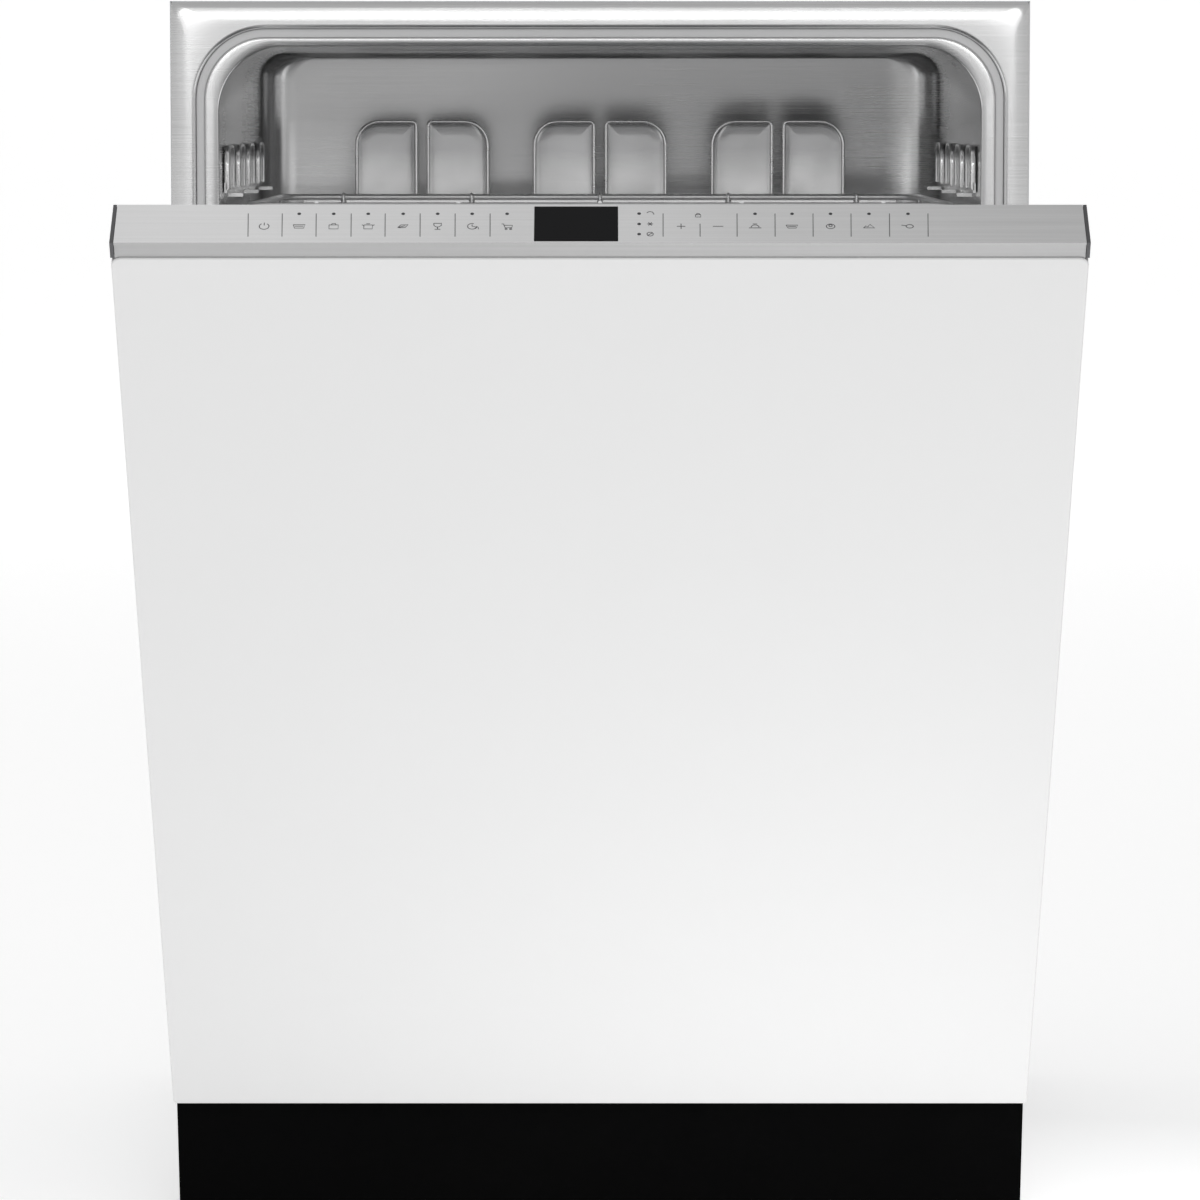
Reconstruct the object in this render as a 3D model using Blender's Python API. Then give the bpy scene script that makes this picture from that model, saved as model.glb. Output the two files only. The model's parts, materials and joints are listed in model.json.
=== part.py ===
"""Built-in dishwasher, 60 cm wide, standing with its door tilted partly open.

The model's own frame has +X to the right, the front facing -Y and +Z up. Its origin is on the
floor, at the centre of the box that holds the machine with the door as it stands here. Sizes in
this file are measured from the front face of the cabinet's flange (y = 0, positive towards the
back) and the empty "machine" carries them to the origin. Door sizes are measured from the hinge
axis with the door closed, and the empty "door_pivot" tilts them.
"""
import math

import bmesh
import bpy
from mathutils import Matrix, Vector

# Driving dimensions, in metres.
WIDTH = 0.598
HEIGHT = 0.847
DEPTH = 0.525            # flange face to the back face of the back panel
HALF = WIDTH / 2
SHEET = 0.0008           # steel sheet of the casing
SKIN = 0.0012            # steel of the tub
GAP = 0.0003             # air left between pieces that touch

DOOR_OPEN = math.radians(35.8)
HINGE_Y = -0.0256
HINGE_Z = 0.095
DOOR_FRONT = -0.0194     # front face of the door, from the hinge axis
DOOR_BACK = 0.0192       # back face of the door's flat inner liner
DOOR_BOTTOM = -0.007
DOOR_TOP = 0.7486
DOOR_SHEET = 0.0012
STRIP_HEIGHT = 0.012     # front strip of the control panel above the door's outer panel

TUB_HALF = 0.2655
TUB_FLOOR = 0.150
TUB_CEILING = 0.816
TUB_BACK = 0.500
TUB_FILLET = 0.025       # round between the walls and the back wall
TUB_REAR_CORNER = 0.020  # upper corner radius at the back, from 0.046 at the front
LEG_SPACE = 0.035        # floor to the underside of the base tray
TRAY_TOP = 0.072
TRAY_FRONT = 0.060

SUMP_CENTRE = (0.0, 0.25)
SUMP_RADIUS = 0.105
FILTER_CENTRE = (0.052, 0.280)
SALT_CENTRE = (-0.19, 0.105)

RACK_WIRE = 0.005
UPPER_FRONT = 0.028
UPPER_REAR = 0.430
UPPER_FLOOR = 0.555
UPPER_RIM = 0.7045
UPPER_RIM_HALF = 0.247
UPPER_FLOOR_HALF = 0.232
UPPER_ARM_CENTRE = (0.0, 0.235)
LOWER_FRONT = 0.030
LOWER_REAR = 0.455
LOWER_FLOOR = 0.205
LOWER_RIM = 0.330
WHEEL_RADIUS = 0.022
SHELF_PIVOT = (0.2605, 0.7125)       # x and z of the cup shelves' axis
HOLDER_PIVOT = (0.4365, 0.7125)      # y and z of the glass holders' axis

ARM_PLATE = (0.2833, 0.2863)         # x span of the hinge arm
BRACKET_PLATE = (0.2755, 0.2775)     # x span of the hinge bracket
TAIL_LENGTH = 0.036
TAIL_ANGLE = math.radians(-35)

# Centre of the whole machine from front to back: the door's top front edge stands furthest out.
DOOR_REACH = HINGE_Y + DOOR_FRONT * math.cos(DOOR_OPEN) - DOOR_TOP * math.sin(DOOR_OPEN)
CENTRE_Y = (DOOR_REACH + DEPTH) / 2

CORNER_STEPS = 5
ROUND_SIDES = 16
AXES = {"X": (1, 2, 0), "Y": (0, 2, 1), "Z": (0, 1, 2)}


# Materials -------------------------------------------------------------------------------------

def material(name, colour, roughness, metallic=0.0, alpha=1.0):
    """A Principled BSDF material, made once and then shared."""
    if name in bpy.data.materials:
        return bpy.data.materials[name]
    made = bpy.data.materials.new(name)
    made.use_nodes = True
    shader = made.node_tree.nodes["Principled BSDF"]
    shader.inputs["Base Color"].default_value = (*colour, 1.0)
    shader.inputs["Roughness"].default_value = roughness
    shader.inputs["Metallic"].default_value = metallic
    shader.inputs["Alpha"].default_value = alpha
    return made


def stainless():
    return material("stainless", (0.62, 0.62, 0.63), 0.28, 1.0)


def galvanised():
    return material("galvanised", (0.55, 0.57, 0.58), 0.45, 1.0)


def white_paint():
    return material("white_paint", (0.86, 0.86, 0.86), 0.35)


def silver_panel():
    return material("silver_panel", (0.66, 0.66, 0.67), 0.38, 0.6)


def black_plastic():
    return material("black_plastic", (0.012, 0.012, 0.013), 0.45)


def grey_plastic():
    return material("grey_plastic", (0.42, 0.43, 0.45), 0.5)


def dark_plastic():
    return material("dark_plastic", (0.10, 0.10, 0.11), 0.5)


def smoke_plastic():
    return material("smoke_plastic", (0.50, 0.50, 0.51), 0.2, 0.0, 0.7)


def seal_rubber():
    return material("seal_rubber", (0.45, 0.45, 0.46), 0.6)


def rack_coating():
    return material("rack_coating", (0.62, 0.63, 0.64), 0.4)


def board_green():
    return material("board_green", (0.03, 0.16, 0.07), 0.5)


# Shapes: each function returns a closed mesh -----------------------------------------------------

def finished(bm):
    """Close a bmesh into a mesh whose faces point out."""
    bmesh.ops.recalc_face_normals(bm, faces=bm.faces)
    mesh = bpy.data.meshes.new("shape")
    bm.to_mesh(mesh)
    bm.free()
    return mesh


def box(low, high):
    """A box between two opposite corners."""
    bm = bmesh.new()
    bmesh.ops.create_cube(bm, size=1.0)
    low, high = Vector(low), Vector(high)
    bmesh.ops.scale(bm, verts=bm.verts, vec=high - low)
    bmesh.ops.translate(bm, verts=bm.verts, vec=(low + high) / 2)
    return finished(bm)


def prism(outline, axis, low, high):
    """An outline of two coordinates, in axis order, drawn out along the third axis."""
    first, second, along = AXES[axis]
    bm = bmesh.new()
    rings = []
    for level in (low, high):
        ring = []
        for point in outline:
            place = [0.0, 0.0, 0.0]
            place[first], place[second], place[along] = point[0], point[1], level
            ring.append(bm.verts.new(place))
        rings.append(ring)
    bm.faces.new(rings[0])
    bm.faces.new(reversed(rings[1]))
    for index in range(len(outline)):
        after = (index + 1) % len(outline)
        bm.faces.new((rings[0][index], rings[0][after], rings[1][after], rings[1][index]))
    return finished(bm)


def turned(profile, centre, axis, sides=ROUND_SIDES):
    """A turned solid: profile holds (radius, distance along axis); radius 0 is on the axis."""
    first, second, along = AXES[axis]
    bm = bmesh.new()
    rings = []
    for radius, level in profile:
        count = 1 if radius == 0 else sides
        ring = []
        for index in range(count):
            angle = 2 * math.pi * index / sides
            place = list(centre)
            place[first] += radius * math.cos(angle)
            place[second] += radius * math.sin(angle)
            place[along] += level
            ring.append(bm.verts.new(place))
        rings.append(ring)
    pairs = list(zip(rings, rings[1:]))
    if len(rings[0]) > 1:
        pairs.append((rings[-1], rings[0]))
    for near, far in pairs:
        for index in range(sides):
            after = (index + 1) % sides
            corners = [near[index % len(near)], near[after % len(near)]]
            corners += [far[after % len(far)], far[index % len(far)]]
            bm.faces.new(dict.fromkeys(corners))
    return finished(bm)


def rod(centre, axis, low, high, radius, sides=ROUND_SIDES):
    """A round rod along an axis, from low to high measured from its centre."""
    return turned([(0, low), (radius, low), (radius, high), (0, high)], centre, axis, sides)


def boolean(base, tools, operation, solver="EXACT"):
    """The mesh left when each tool in turn is joined to the base or cut from it."""
    scene = bpy.context.scene.collection
    work = bpy.data.objects.new("work", base)
    scene.objects.link(work)
    cutters = []
    for tool in tools:
        cutter = bpy.data.objects.new("cutter", tool)
        cutter.display_type = "WIRE"
        cutter.hide_render = True
        scene.objects.link(cutter)
        cutters.append(cutter)
        step = work.modifiers.new("step", "BOOLEAN")
        step.operation = operation
        step.object = cutter
        step.solver = solver
    depsgraph = bpy.context.evaluated_depsgraph_get()
    result = bpy.data.meshes.new_from_object(work.evaluated_get(depsgraph))
    for spare in (work, *cutters):
        bpy.data.objects.remove(spare)
    return result


def joined(base, *tools):
    return boolean(base, tools, "UNION")


def cut(base, *tools):
    return boolean(base, tools, "DIFFERENCE")


def rounded_rect(half_width, low, high, low_radius, high_radius):
    """Points of an upright rounded rectangle, seen from the front, right bottom corner first."""
    corners = (
        (half_width - low_radius, low + low_radius, low_radius, -90),
        (half_width - high_radius, high - high_radius, high_radius, 0),
        (high_radius - half_width, high - high_radius, high_radius, 90),
        (low_radius - half_width, low + low_radius, low_radius, 180),
    )
    points = []
    for x, z, radius, start in corners:
        for step in range(CORNER_STEPS + 1):
            angle = math.radians(start + 90 * step / CORNER_STEPS)
            points.append((x + radius * math.cos(angle), z + radius * math.sin(angle)))
    return points


def pressed_sheet(stations):
    """An open sheet through rounded rectangles, each (y, half width, low, high, two radii)."""
    bm = bmesh.new()
    loops = []
    for y, *shape in stations:
        loops.append([bm.verts.new((x, y, z)) for x, z in rounded_rect(*shape)])
    for near, far in zip(loops, loops[1:]):
        for index in range(len(near)):
            after = (index + 1) % len(near)
            bm.faces.new((near[index], near[after], far[after], far[index]))
    bm.faces.new(loops[-1])
    mesh = bpy.data.meshes.new("sheet")
    bm.to_mesh(mesh)
    bm.free()
    return mesh


def thickened(mesh, thickness, side):
    """A sheet given its thickness, behind its faces (-1) or in front of them (1)."""
    work = bpy.data.objects.new("work", mesh)
    bpy.context.scene.collection.objects.link(work)
    solid = work.modifiers.new("thickness", "SOLIDIFY")
    solid.thickness = thickness
    solid.offset = side
    solid.use_even_offset = True
    depsgraph = bpy.context.evaluated_depsgraph_get()
    result = bpy.data.meshes.new_from_object(work.evaluated_get(depsgraph))
    bpy.data.objects.remove(work)
    bm = bmesh.new()
    bm.from_mesh(result)
    return finished(bm)


def wire_basket(floor_half, rim_half, front, rear, floor, rim, cells):
    """An open-topped basket of crossing wires, narrower at its floor than at its rim."""
    across, along, up = cells
    bm = bmesh.new()
    verts = {}

    def corner(i, j, k):
        key = (i, j, k)
        if key not in verts:
            half = floor_half + (rim_half - floor_half) * k / up
            x = half * (2 * i / across - 1)
            y = front + (rear - front) * j / along
            verts[key] = bm.verts.new((x, y, floor + (rim - floor) * k / up))
        return verts[key]

    for i in range(across):
        for j in range(along):
            bm.faces.new((corner(i, j, 0), corner(i + 1, j, 0), corner(i + 1, j + 1, 0),
                          corner(i, j + 1, 0)))
    for k in range(up):
        for i in range(across):
            bm.faces.new((corner(i, 0, k), corner(i, 0, k + 1), corner(i + 1, 0, k + 1),
                          corner(i + 1, 0, k)))
            bm.faces.new((corner(i, along, k), corner(i + 1, along, k), corner(i + 1, along, k + 1),
                          corner(i, along, k + 1)))
        for j in range(along):
            bm.faces.new((corner(0, j, k), corner(0, j + 1, k), corner(0, j + 1, k + 1),
                          corner(0, j, k + 1)))
            bm.faces.new((corner(across, j, k), corner(across, j, k + 1), corner(across, j + 1, k + 1),
                          corner(across, j + 1, k)))
    grid = finished(bm)
    work = bpy.data.objects.new("work", grid)
    bpy.context.scene.collection.objects.link(work)
    wires = work.modifiers.new("wires", "WIREFRAME")
    wires.thickness = RACK_WIRE
    wires.use_boundary = True
    depsgraph = bpy.context.evaluated_depsgraph_get()
    result = bpy.data.meshes.new_from_object(work.evaluated_get(depsgraph))
    bpy.data.objects.remove(work)
    bm = bmesh.new()
    bm.from_mesh(result)
    return finished(bm)


# Placing ---------------------------------------------------------------------------------------

def empty(name, parent, location=(0, 0, 0), tilt=0.0):
    made = bpy.data.objects.new(name, None)
    made.location = location
    made.rotation_euler = (tilt, 0, 0)
    made.parent = parent
    bpy.context.scene.collection.objects.link(made)
    return made


def add(name, mesh, finish, parent, origin=(0, 0, 0)):
    """Place a mesh that is drawn in its parent's frame, with its origin moved to its axis."""
    mesh.transform(Matrix.Translation(-Vector(origin)))
    mesh.name = name
    mesh.materials.clear()
    mesh.materials.append(finish)
    mesh.shade_smooth()
    mesh.set_sharp_from_angle(angle=math.radians(35))
    made = bpy.data.objects.new(name, mesh)
    made.location = origin
    made.parent = parent
    bpy.context.scene.collection.objects.link(made)
    return made


def mirrored(low, high, side):
    """A box's corners with its x span put on the right (side 1) or on the left (side -1)."""
    xs = sorted((side * low[0], side * high[0]))
    return (xs[0], low[1], low[2]), (xs[1], high[1], high[2])


SIDES = (("left", -1), ("right", 1))


# Cabinet ---------------------------------------------------------------------------------------

def make_tub(machine):
    """Pressed steel tub: flat front flange, seal channel, step, walls and rounded back."""
    stations = [
        (0.0, HALF, 0.125, HEIGHT, 0.002, 0.002),
        (0.0, 0.2815, 0.1345, 0.8280, 0.0250, 0.0490),
        (0.010, 0.2810, 0.1350, 0.8275, 0.0245, 0.0485),
        (0.010, 0.2755, 0.1405, 0.8220, 0.0190, 0.0430),
        (0.002, 0.2745, 0.1415, 0.8210, 0.0180, 0.0420),
        (0.003, 0.2662, 0.1493, 0.8167, 0.0110, 0.0460),
        (0.008, TUB_HALF, TUB_FLOOR, TUB_CEILING, 0.010, 0.046),
        (TUB_BACK - TUB_FILLET, TUB_HALF, TUB_FLOOR, TUB_CEILING, 0.010, TUB_REAR_CORNER),
    ]
    fillet_steps = 4
    for step in range(1, fillet_steps + 1):
        angle = math.radians(90 * step / fillet_steps)
        inset = TUB_FILLET * (1 - math.cos(angle))
        y = TUB_BACK - TUB_FILLET * (1 - math.sin(angle))
        stations.append((y, TUB_HALF - inset, TUB_FLOOR + inset, TUB_CEILING - inset, 0.010,
                         TUB_REAR_CORNER))
    tub = thickened(pressed_sheet(stations), SKIN, -1)
    sump_hole = rod((*SUMP_CENTRE, TUB_FLOOR), "Z", -0.02, 0.02, SUMP_RADIUS + 0.003, 28)
    salt_hole = rod((*SALT_CENTRE, TUB_FLOOR), "Z", -0.02, 0.02, 0.031)
    add("tub", cut(tub, sump_hole, salt_hole), stainless(), machine)


def make_door_seal(machine):
    """Rubber seal standing in the channel around the opening, just clear of the closed door."""
    outer = rounded_rect(0.2803, 0.1357, 0.8268, 0.0238, 0.0478)
    inner = rounded_rect(0.2764, 0.1398, 0.8227, 0.0199, 0.0437)
    ring = cut(prism(outer, "Y", -0.0055, 0.0094), prism(inner, "Y", -0.01, 0.02))
    add("door_seal", ring, seal_rubber(), machine)


def make_casing(machine):
    """Side, top and back sheets around the tub, and the black kick plate under the door."""
    front = SKIN + GAP
    rear = DEPTH - SHEET - GAP
    for name, side in SIDES:
        low, high = mirrored((HALF - SHEET, front, TRAY_TOP + 0.0005), (HALF, rear, HEIGHT), side)
        add("side_panel_" + name, box(low, high), galvanised(), machine)
    inside = HALF - SHEET - GAP
    top = box((-inside, front, HEIGHT - SHEET), (inside, rear, HEIGHT))
    add("top_panel", top, galvanised(), machine)
    back = box((-HALF, DEPTH - SHEET, 0.135), (HALF, DEPTH, HEIGHT))
    add("back_panel", back, galvanised(), machine)

    kick_front, kick_top = -0.0095, 0.077
    face = [(-0.2970, 0.003), (0.2970, 0.003), (0.2986, kick_top), (-0.2986, kick_top)]
    plate = prism(face, "Y", kick_front, kick_front + SHEET)
    lip = box((-0.270, kick_front + 0.0005, kick_top - SHEET), (0.270, 0.010, kick_top))
    add("kick_plate", joined(plate, lip), black_plastic(), machine)


def make_base(machine):
    """Moulded base tray with a nose that carries the kick plate, and four threaded feet."""
    rear, wall = DEPTH - SHEET - GAP, 0.003
    nose_half, nose_front = 0.270, 0.012

    def outline(inset):
        corner, nose = HALF - inset, nose_half - inset
        return [(-corner, TRAY_FRONT + inset), (-nose, TRAY_FRONT + inset), (-nose, nose_front + inset),
                (nose, nose_front + inset), (nose, TRAY_FRONT + inset), (corner, TRAY_FRONT + inset),
                (corner, rear - inset), (-corner, rear - inset)]

    tray = prism(outline(0), "Z", LEG_SPACE, TRAY_TOP)
    hollow = prism(outline(wall), "Z", LEG_SPACE + wall, TRAY_TOP + 0.01)
    foot_x, stud_radius = 0.265, 0.005
    places = {"front": 0.085, "rear": 0.480}
    holes = [rod((side * foot_x, y, LEG_SPACE), "Z", -0.01, 0.01, stud_radius + 0.0008, 12)
             for side in (-1, 1) for y in places.values()]
    add("base_tray", cut(tray, hollow, *holes), dark_plastic(), machine)
    profile = [(0, 0), (0.019, 0), (0.019, 0.007), (0.013, 0.011), (0.009, 0.011), (0.009, 0.016),
               (stud_radius, 0.016), (stud_radius, 0.068), (0, 0.068)]
    for name, side in SIDES:
        for end, y in places.items():
            place = (side * foot_x, y, 0)
            add("foot_%s_%s" % (end, name), turned(profile, place, "Z"), black_plastic(), machine, place)


def make_hinge_brackets(machine):
    """Fixed hinge plates with the pins that carry the door."""
    for name, side in SIDES:
        axis = (0, HINGE_Y, HINGE_Z)
        xs = sorted(side * x for x in BRACKET_PLATE)
        arm = [(HINGE_Y, 0.085), (0.006, 0.085), (0.006, 0.078), (0.058, 0.078), (0.058, 0.122),
               (0.006, 0.122), (0.006, 0.105), (HINGE_Y, 0.105)]
        eye = rod(axis, "X", *xs, 0.010)
        pin = rod(axis, "X", *sorted(side * x for x in (0.2765, 0.2885)), 0.004, 12)
        add("hinge_bracket_" + name, joined(prism(arm, "X", *xs), eye, pin), galvanised(), machine)


def make_door_springs(machine):
    """Counterbalance springs, from the hinge arms' tails back along the base."""
    tail = TAIL_ANGLE + DOOR_OPEN
    z = HINGE_Z + TAIL_LENGTH * math.sin(tail)
    start = HINGE_Y + TAIL_LENGTH * math.cos(tail) + 0.0055
    coils, pitch, radius, root = 16, 0.018, 0.006, 0.0045
    profile = [(0, 0), (0.002, 0), (0.002, 0.008)]
    for coil in range(coils):
        base = 0.010 + coil * pitch
        profile += [(root, base), (radius, base + pitch * 0.35), (radius, base + pitch * 0.65)]
    end = 0.010 + coils * pitch
    profile += [(root, end), (0.002, end + 0.002), (0.002, end + 0.012), (0, end + 0.012)]
    for name, side in SIDES:
        place = (side * sum(ARM_PLATE) / 2, start, z)
        add("door_spring_" + name, turned(profile, place, "Y", 8), galvanised(), machine)


# Water works under and behind the tub ------------------------------------------------------------

def make_sump(machine):
    """Sump bowl, flat filter, cylindrical filter cup and the floor's salt cap."""
    under = TUB_FLOOR - SKIN - GAP
    wall = 0.004
    profile = [(0, 0.062), (0.070, 0.062), (SUMP_RADIUS, 0.095), (SUMP_RADIUS + wall, under - wall),
               (SUMP_RADIUS + 0.012, under - wall), (SUMP_RADIUS + 0.012, under), (SUMP_RADIUS, under),
               (SUMP_RADIUS - wall, 0.097), (0.068, 0.066), (0, 0.066)]
    add("sump", turned(profile, (*SUMP_CENTRE, 0), "Z", 24), dark_plastic(), machine)

    plate = rod((*SUMP_CENTRE, 0), "Z", TUB_FLOOR + GAP, TUB_FLOOR + 0.0028, SUMP_RADIUS + 0.013, 28)
    hole = rod((*FILTER_CENTRE, 0), "Z", 0.14, 0.16, 0.036, 20)
    add("filter_plate", cut(plate, hole), stainless(), machine)

    lip = TUB_FLOOR + 0.0032
    cup = [(0, 0.105), (0.034, 0.105), (0.034, lip), (0.040, lip), (0.040, 0.157), (0.018, 0.157),
           (0.014, 0.172), (0, 0.172)]
    place = (*FILTER_CENTRE, 0)
    add("filter_cup", turned(cup, place, "Z", 20), grey_plastic(), machine, place)

    softener = box((-0.25, 0.075, LEG_SPACE + 0.0035), (-0.13, 0.235, 0.140))
    neck = rod((*SALT_CENTRE, 0), "Z", 0.135, under, 0.035, 20)
    bore = rod((*SALT_CENTRE, 0), "Z", 0.115, 0.16, 0.029, 20)
    add("water_softener", cut(joined(softener, neck), bore), grey_plastic(), machine)
    cap = [(0, 0.128), (0.028, 0.128), (0.028, TUB_FLOOR + 0.0006), (0.036, TUB_FLOOR + 0.0006),
           (0.036, 0.158), (0.030, 0.163), (0, 0.163)]
    place = (*SALT_CENTRE, 0)
    grip = box((SALT_CENTRE[0] - 0.026, SALT_CENTRE[1] - 0.005, 0.160),
               (SALT_CENTRE[0] + 0.026, SALT_CENTRE[1] + 0.005, 0.168))
    add("salt_cap", joined(turned(cap, place, "Z", 20), grip), dark_plastic(), machine, place)


def make_pumps(machine):
    """Wash pump beside the sump, drain pump behind it, inlet valve and terminal box at the back."""
    floor = LEG_SPACE + 0.0035
    edge = DEPTH - 0.0005
    motor = rod((0, 0.25, 0.092), "X", 0.128, 0.235, 0.042)
    volute = rod((0, 0.25, 0.092), "X", 0.119, 0.142, 0.050)
    foot = box((0.150, 0.235, floor), (0.215, 0.265, 0.060))
    add("wash_pump", joined(volute, motor, foot), dark_plastic(), machine)

    body = rod((-0.03, 0, 0.082), "Y", 0.375, 0.450, 0.030)
    mount = box((-0.045, 0.390, floor), (-0.015, 0.435, 0.060))
    outlet = rod((-0.03, 0, 0.100), "Y", 0.440, edge, 0.011, 12)
    add("drain_pump", joined(body, mount, outlet), grey_plastic(), machine)

    block = box((-0.245, 0.455, floor), (-0.205, 0.500, 0.120))
    spigot = rod((-0.225, 0, 0.100), "Y", 0.495, edge, 0.0125, 12)
    add("inlet_valve", joined(block, spigot), white_paint(), machine)

    case = box((0.165, 0.430, floor), (0.235, 0.500, 0.122))
    gland = rod((0.200, 0, 0.100), "Y", 0.495, edge, 0.010, 12)
    add("terminal_box", joined(case, gland), dark_plastic(), machine)

    low_leg = box((-0.022, 0.372, 0.1605), (0.022, 0.480, 0.1705))
    riser = box((-0.022, 0.466, 0.1605), (0.022, 0.480, 0.560))
    nozzle = rod((0, 0, 0.543), "Y", 0.458, 0.470, 0.012, 12)
    add("feed_pipe", joined(riser, low_leg, nozzle), grey_plastic(), machine)


def spray_arm(centre, low, high, reach, hub_low, hub_high, hub_radius):
    """A spray arm: two tapering blades on a round hub."""
    root, tip = 0.021, 0.012
    x, y = centre
    outline = [(x - reach, y - tip), (x, y - root), (x + reach, y - tip),
               (x + reach + 0.006, y), (x + reach, y + tip), (x, y + root),
               (x - reach, y + tip), (x - reach - 0.006, y)]
    blade = prism(outline, "Z", low, high)
    hub = rod((x, y, 0), "Z", hub_low, hub_high, hub_radius)
    return joined(blade, hub)


def make_spray_arms(machine):
    """The two turning spray arms and the tube that feeds the upper one."""
    lower = spray_arm(SUMP_CENTRE, 0.178, 0.188, 0.200, TUB_FLOOR + 0.0035, 0.191, 0.016)
    add("lower_spray_arm", lower, grey_plastic(), machine, (*SUMP_CENTRE, 0.178))
    upper = spray_arm(UPPER_ARM_CENTRE, 0.521, 0.530, 0.190, 0.518, 0.5325, 0.018)
    add("upper_spray_arm", upper, grey_plastic(), machine, (*UPPER_ARM_CENTRE, 0.521))
    tube = box((-0.012, UPPER_ARM_CENTRE[1], 0.537), (0.012, 0.4555, 0.549))
    boss = rod((*UPPER_ARM_CENTRE, 0), "Z", 0.533, 0.551, 0.020)
    add("upper_feed_tube", joined(tube, boss), grey_plastic(), machine)


# Racks -----------------------------------------------------------------------------------------

def make_upper_rack(machine):
    """Upper rack with its telescopic rails, side cup shelves and rear glass holders."""
    rack = wire_basket(UPPER_FLOOR_HALF, UPPER_RIM_HALF, UPPER_FRONT, UPPER_REAR, UPPER_FLOOR,
                       UPPER_RIM, (6, 5, 2))
    add("upper_rack", rack, rack_coating(), machine)
    for name, side in SIDES:
        low, high = mirrored((0.2612, 0.040, 0.615), (0.2650, 0.445, 0.655), side)
        add("upper_rail_bracket_" + name, box(low, high), stainless(), machine)
        web = box(*mirrored((0.2570, 0.045, 0.620), (0.2608, 0.440, 0.650), side))
        ledge = box(*mirrored((0.2460, 0.045, 0.620), (0.2590, 0.440, 0.6225), side))
        add("upper_rail_" + name, joined(web, ledge), stainless(), machine)
        make_cup_shelf(machine, name, side)
    for name, x in (("left", -0.138), ("middle", 0.0), ("right", 0.138)):
        make_glass_holder(machine, name, x)


def rounded_lobe(start, end, low, high, radius, round_start=True, round_end=True):
    """Outline of an upright lobe with round upper corners."""
    steps = 4
    points = [(start, low), (end, low)]
    for on, centre, first in ((round_end, end - radius, 0), (round_start, start + radius, 90)):
        if not on:
            points.append((end if first == 0 else start, high))
            continue
        for step in range(steps + 1):
            angle = math.radians(first + 90 * step / steps)
            points.append((centre + radius * math.cos(angle), high - radius + radius * math.sin(angle)))
    return points


def make_cup_shelf(machine, name, side):
    """Four-lobed cup shelf that stands beside the rim and folds inwards."""
    x, z = SHELF_PIVOT
    plate = sorted((side * (x + 0.002), side * (x + 0.004)))
    parts = [box(*mirrored((x + 0.002, 0.038, z + 0.001), (x + 0.004, 0.441, z + 0.009), side))]
    for start in (0.038, 0.154, 0.265, 0.383):
        parts.append(prism(rounded_lobe(start, start + 0.058, z + 0.005, 0.7465, 0.014), "X", *plate))
    for start in (0.060, 0.230, 0.405):
        low, high = mirrored((0.2510, start, z - 0.002), (x + 0.003, start + 0.012, z + 0.004), side)
        parts.append(box(low, high))
    add("cup_shelf_" + name, joined(*parts), smoke_plastic(), machine, (side * x, 0.24, z))


def make_glass_holder(machine, name, x):
    """Two-lobed glass holder that stands behind the rear rim and folds forwards."""
    y, z = HOLDER_PIVOT
    half, slot, top, low = 0.052, 0.0035, 0.764, 0.690
    left = rounded_lobe(x - half, x - slot, low + 0.01, top, 0.018, True, False)
    right = rounded_lobe(x + slot, x + half, low + 0.01, top, 0.018, False, True)
    base = box((x - half, y - 0.001, low), (x + half, y + 0.001, z + 0.004))
    plate = joined(base, prism(left, "Y", y - 0.001, y + 0.001), prism(right, "Y", y - 0.001, y + 0.001))
    add("glass_holder_" + name, plate, smoke_plastic(), machine, (x, y, z))


def make_lower_rack(machine):
    """Lower rack on four wheels, with folding tine rows and the cutlery basket."""
    axle_x, axle_z = 0.239, TUB_FLOOR + 0.0005 + WHEEL_RADIUS
    wheel_half, wheel_y = 0.005, {"front": 0.090, "rear": 0.400}
    rack = wire_basket(0.240, 0.243, LOWER_FRONT, LOWER_REAR, LOWER_FLOOR, LOWER_RIM, (6, 5, 2))
    hangers = []
    for side in (-1, 1):
        for y in wheel_y.values():
            low, high = mirrored((0.2275, y - 0.008, axle_z - 0.006),
                                 (0.2315, y + 0.008, LOWER_FLOOR), side)
            hangers.append(box(low, high))
            axle = sorted((side * 0.2290, side * (axle_x + wheel_half)))
            hangers.append(rod((0, y, axle_z), "X", *axle, 0.003, 10))
            low, high = mirrored((0.2275, y - 0.008, LOWER_FLOOR - 0.0015),
                                 (0.2400, y + 0.008, LOWER_FLOOR + 0.001), side)
            hangers.append(box(low, high))
    add("lower_rack", boolean(rack, hangers, "UNION", "MANIFOLD"), rack_coating(), machine)

    tyre = [(0.0036, -wheel_half), (WHEEL_RADIUS - 0.002, -wheel_half), (WHEEL_RADIUS, -0.003),
            (WHEEL_RADIUS, 0.003), (WHEEL_RADIUS - 0.002, wheel_half), (0.0036, wheel_half)]
    for name, side in SIDES:
        for end, y in wheel_y.items():
            place = (side * axle_x, y, axle_z)
            wheel = turned(tyre, place, "X")
            add("lower_wheel_%s_%s" % (end, name), wheel, grey_plastic(), machine, place)

    for name, x in (("left", -0.10), ("right", 0.04)):
        z, first, last, tines = 0.2125, 0.055, 0.425, 10
        parts = [rod((x, 0, z), "Y", first, last, 0.002, 8)]
        for index in range(tines):
            y = first + 0.008 + (last - first - 0.016) * index / (tines - 1)
            parts.append(box((x - 0.0014, y - 0.0014, z), (x + 0.0014, y + 0.0014, z + 0.075)))
        add("tine_row_" + name, joined(*parts), rack_coating(), machine, (x, (first + last) / 2, z))
    make_cutlery_basket(machine)


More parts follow.
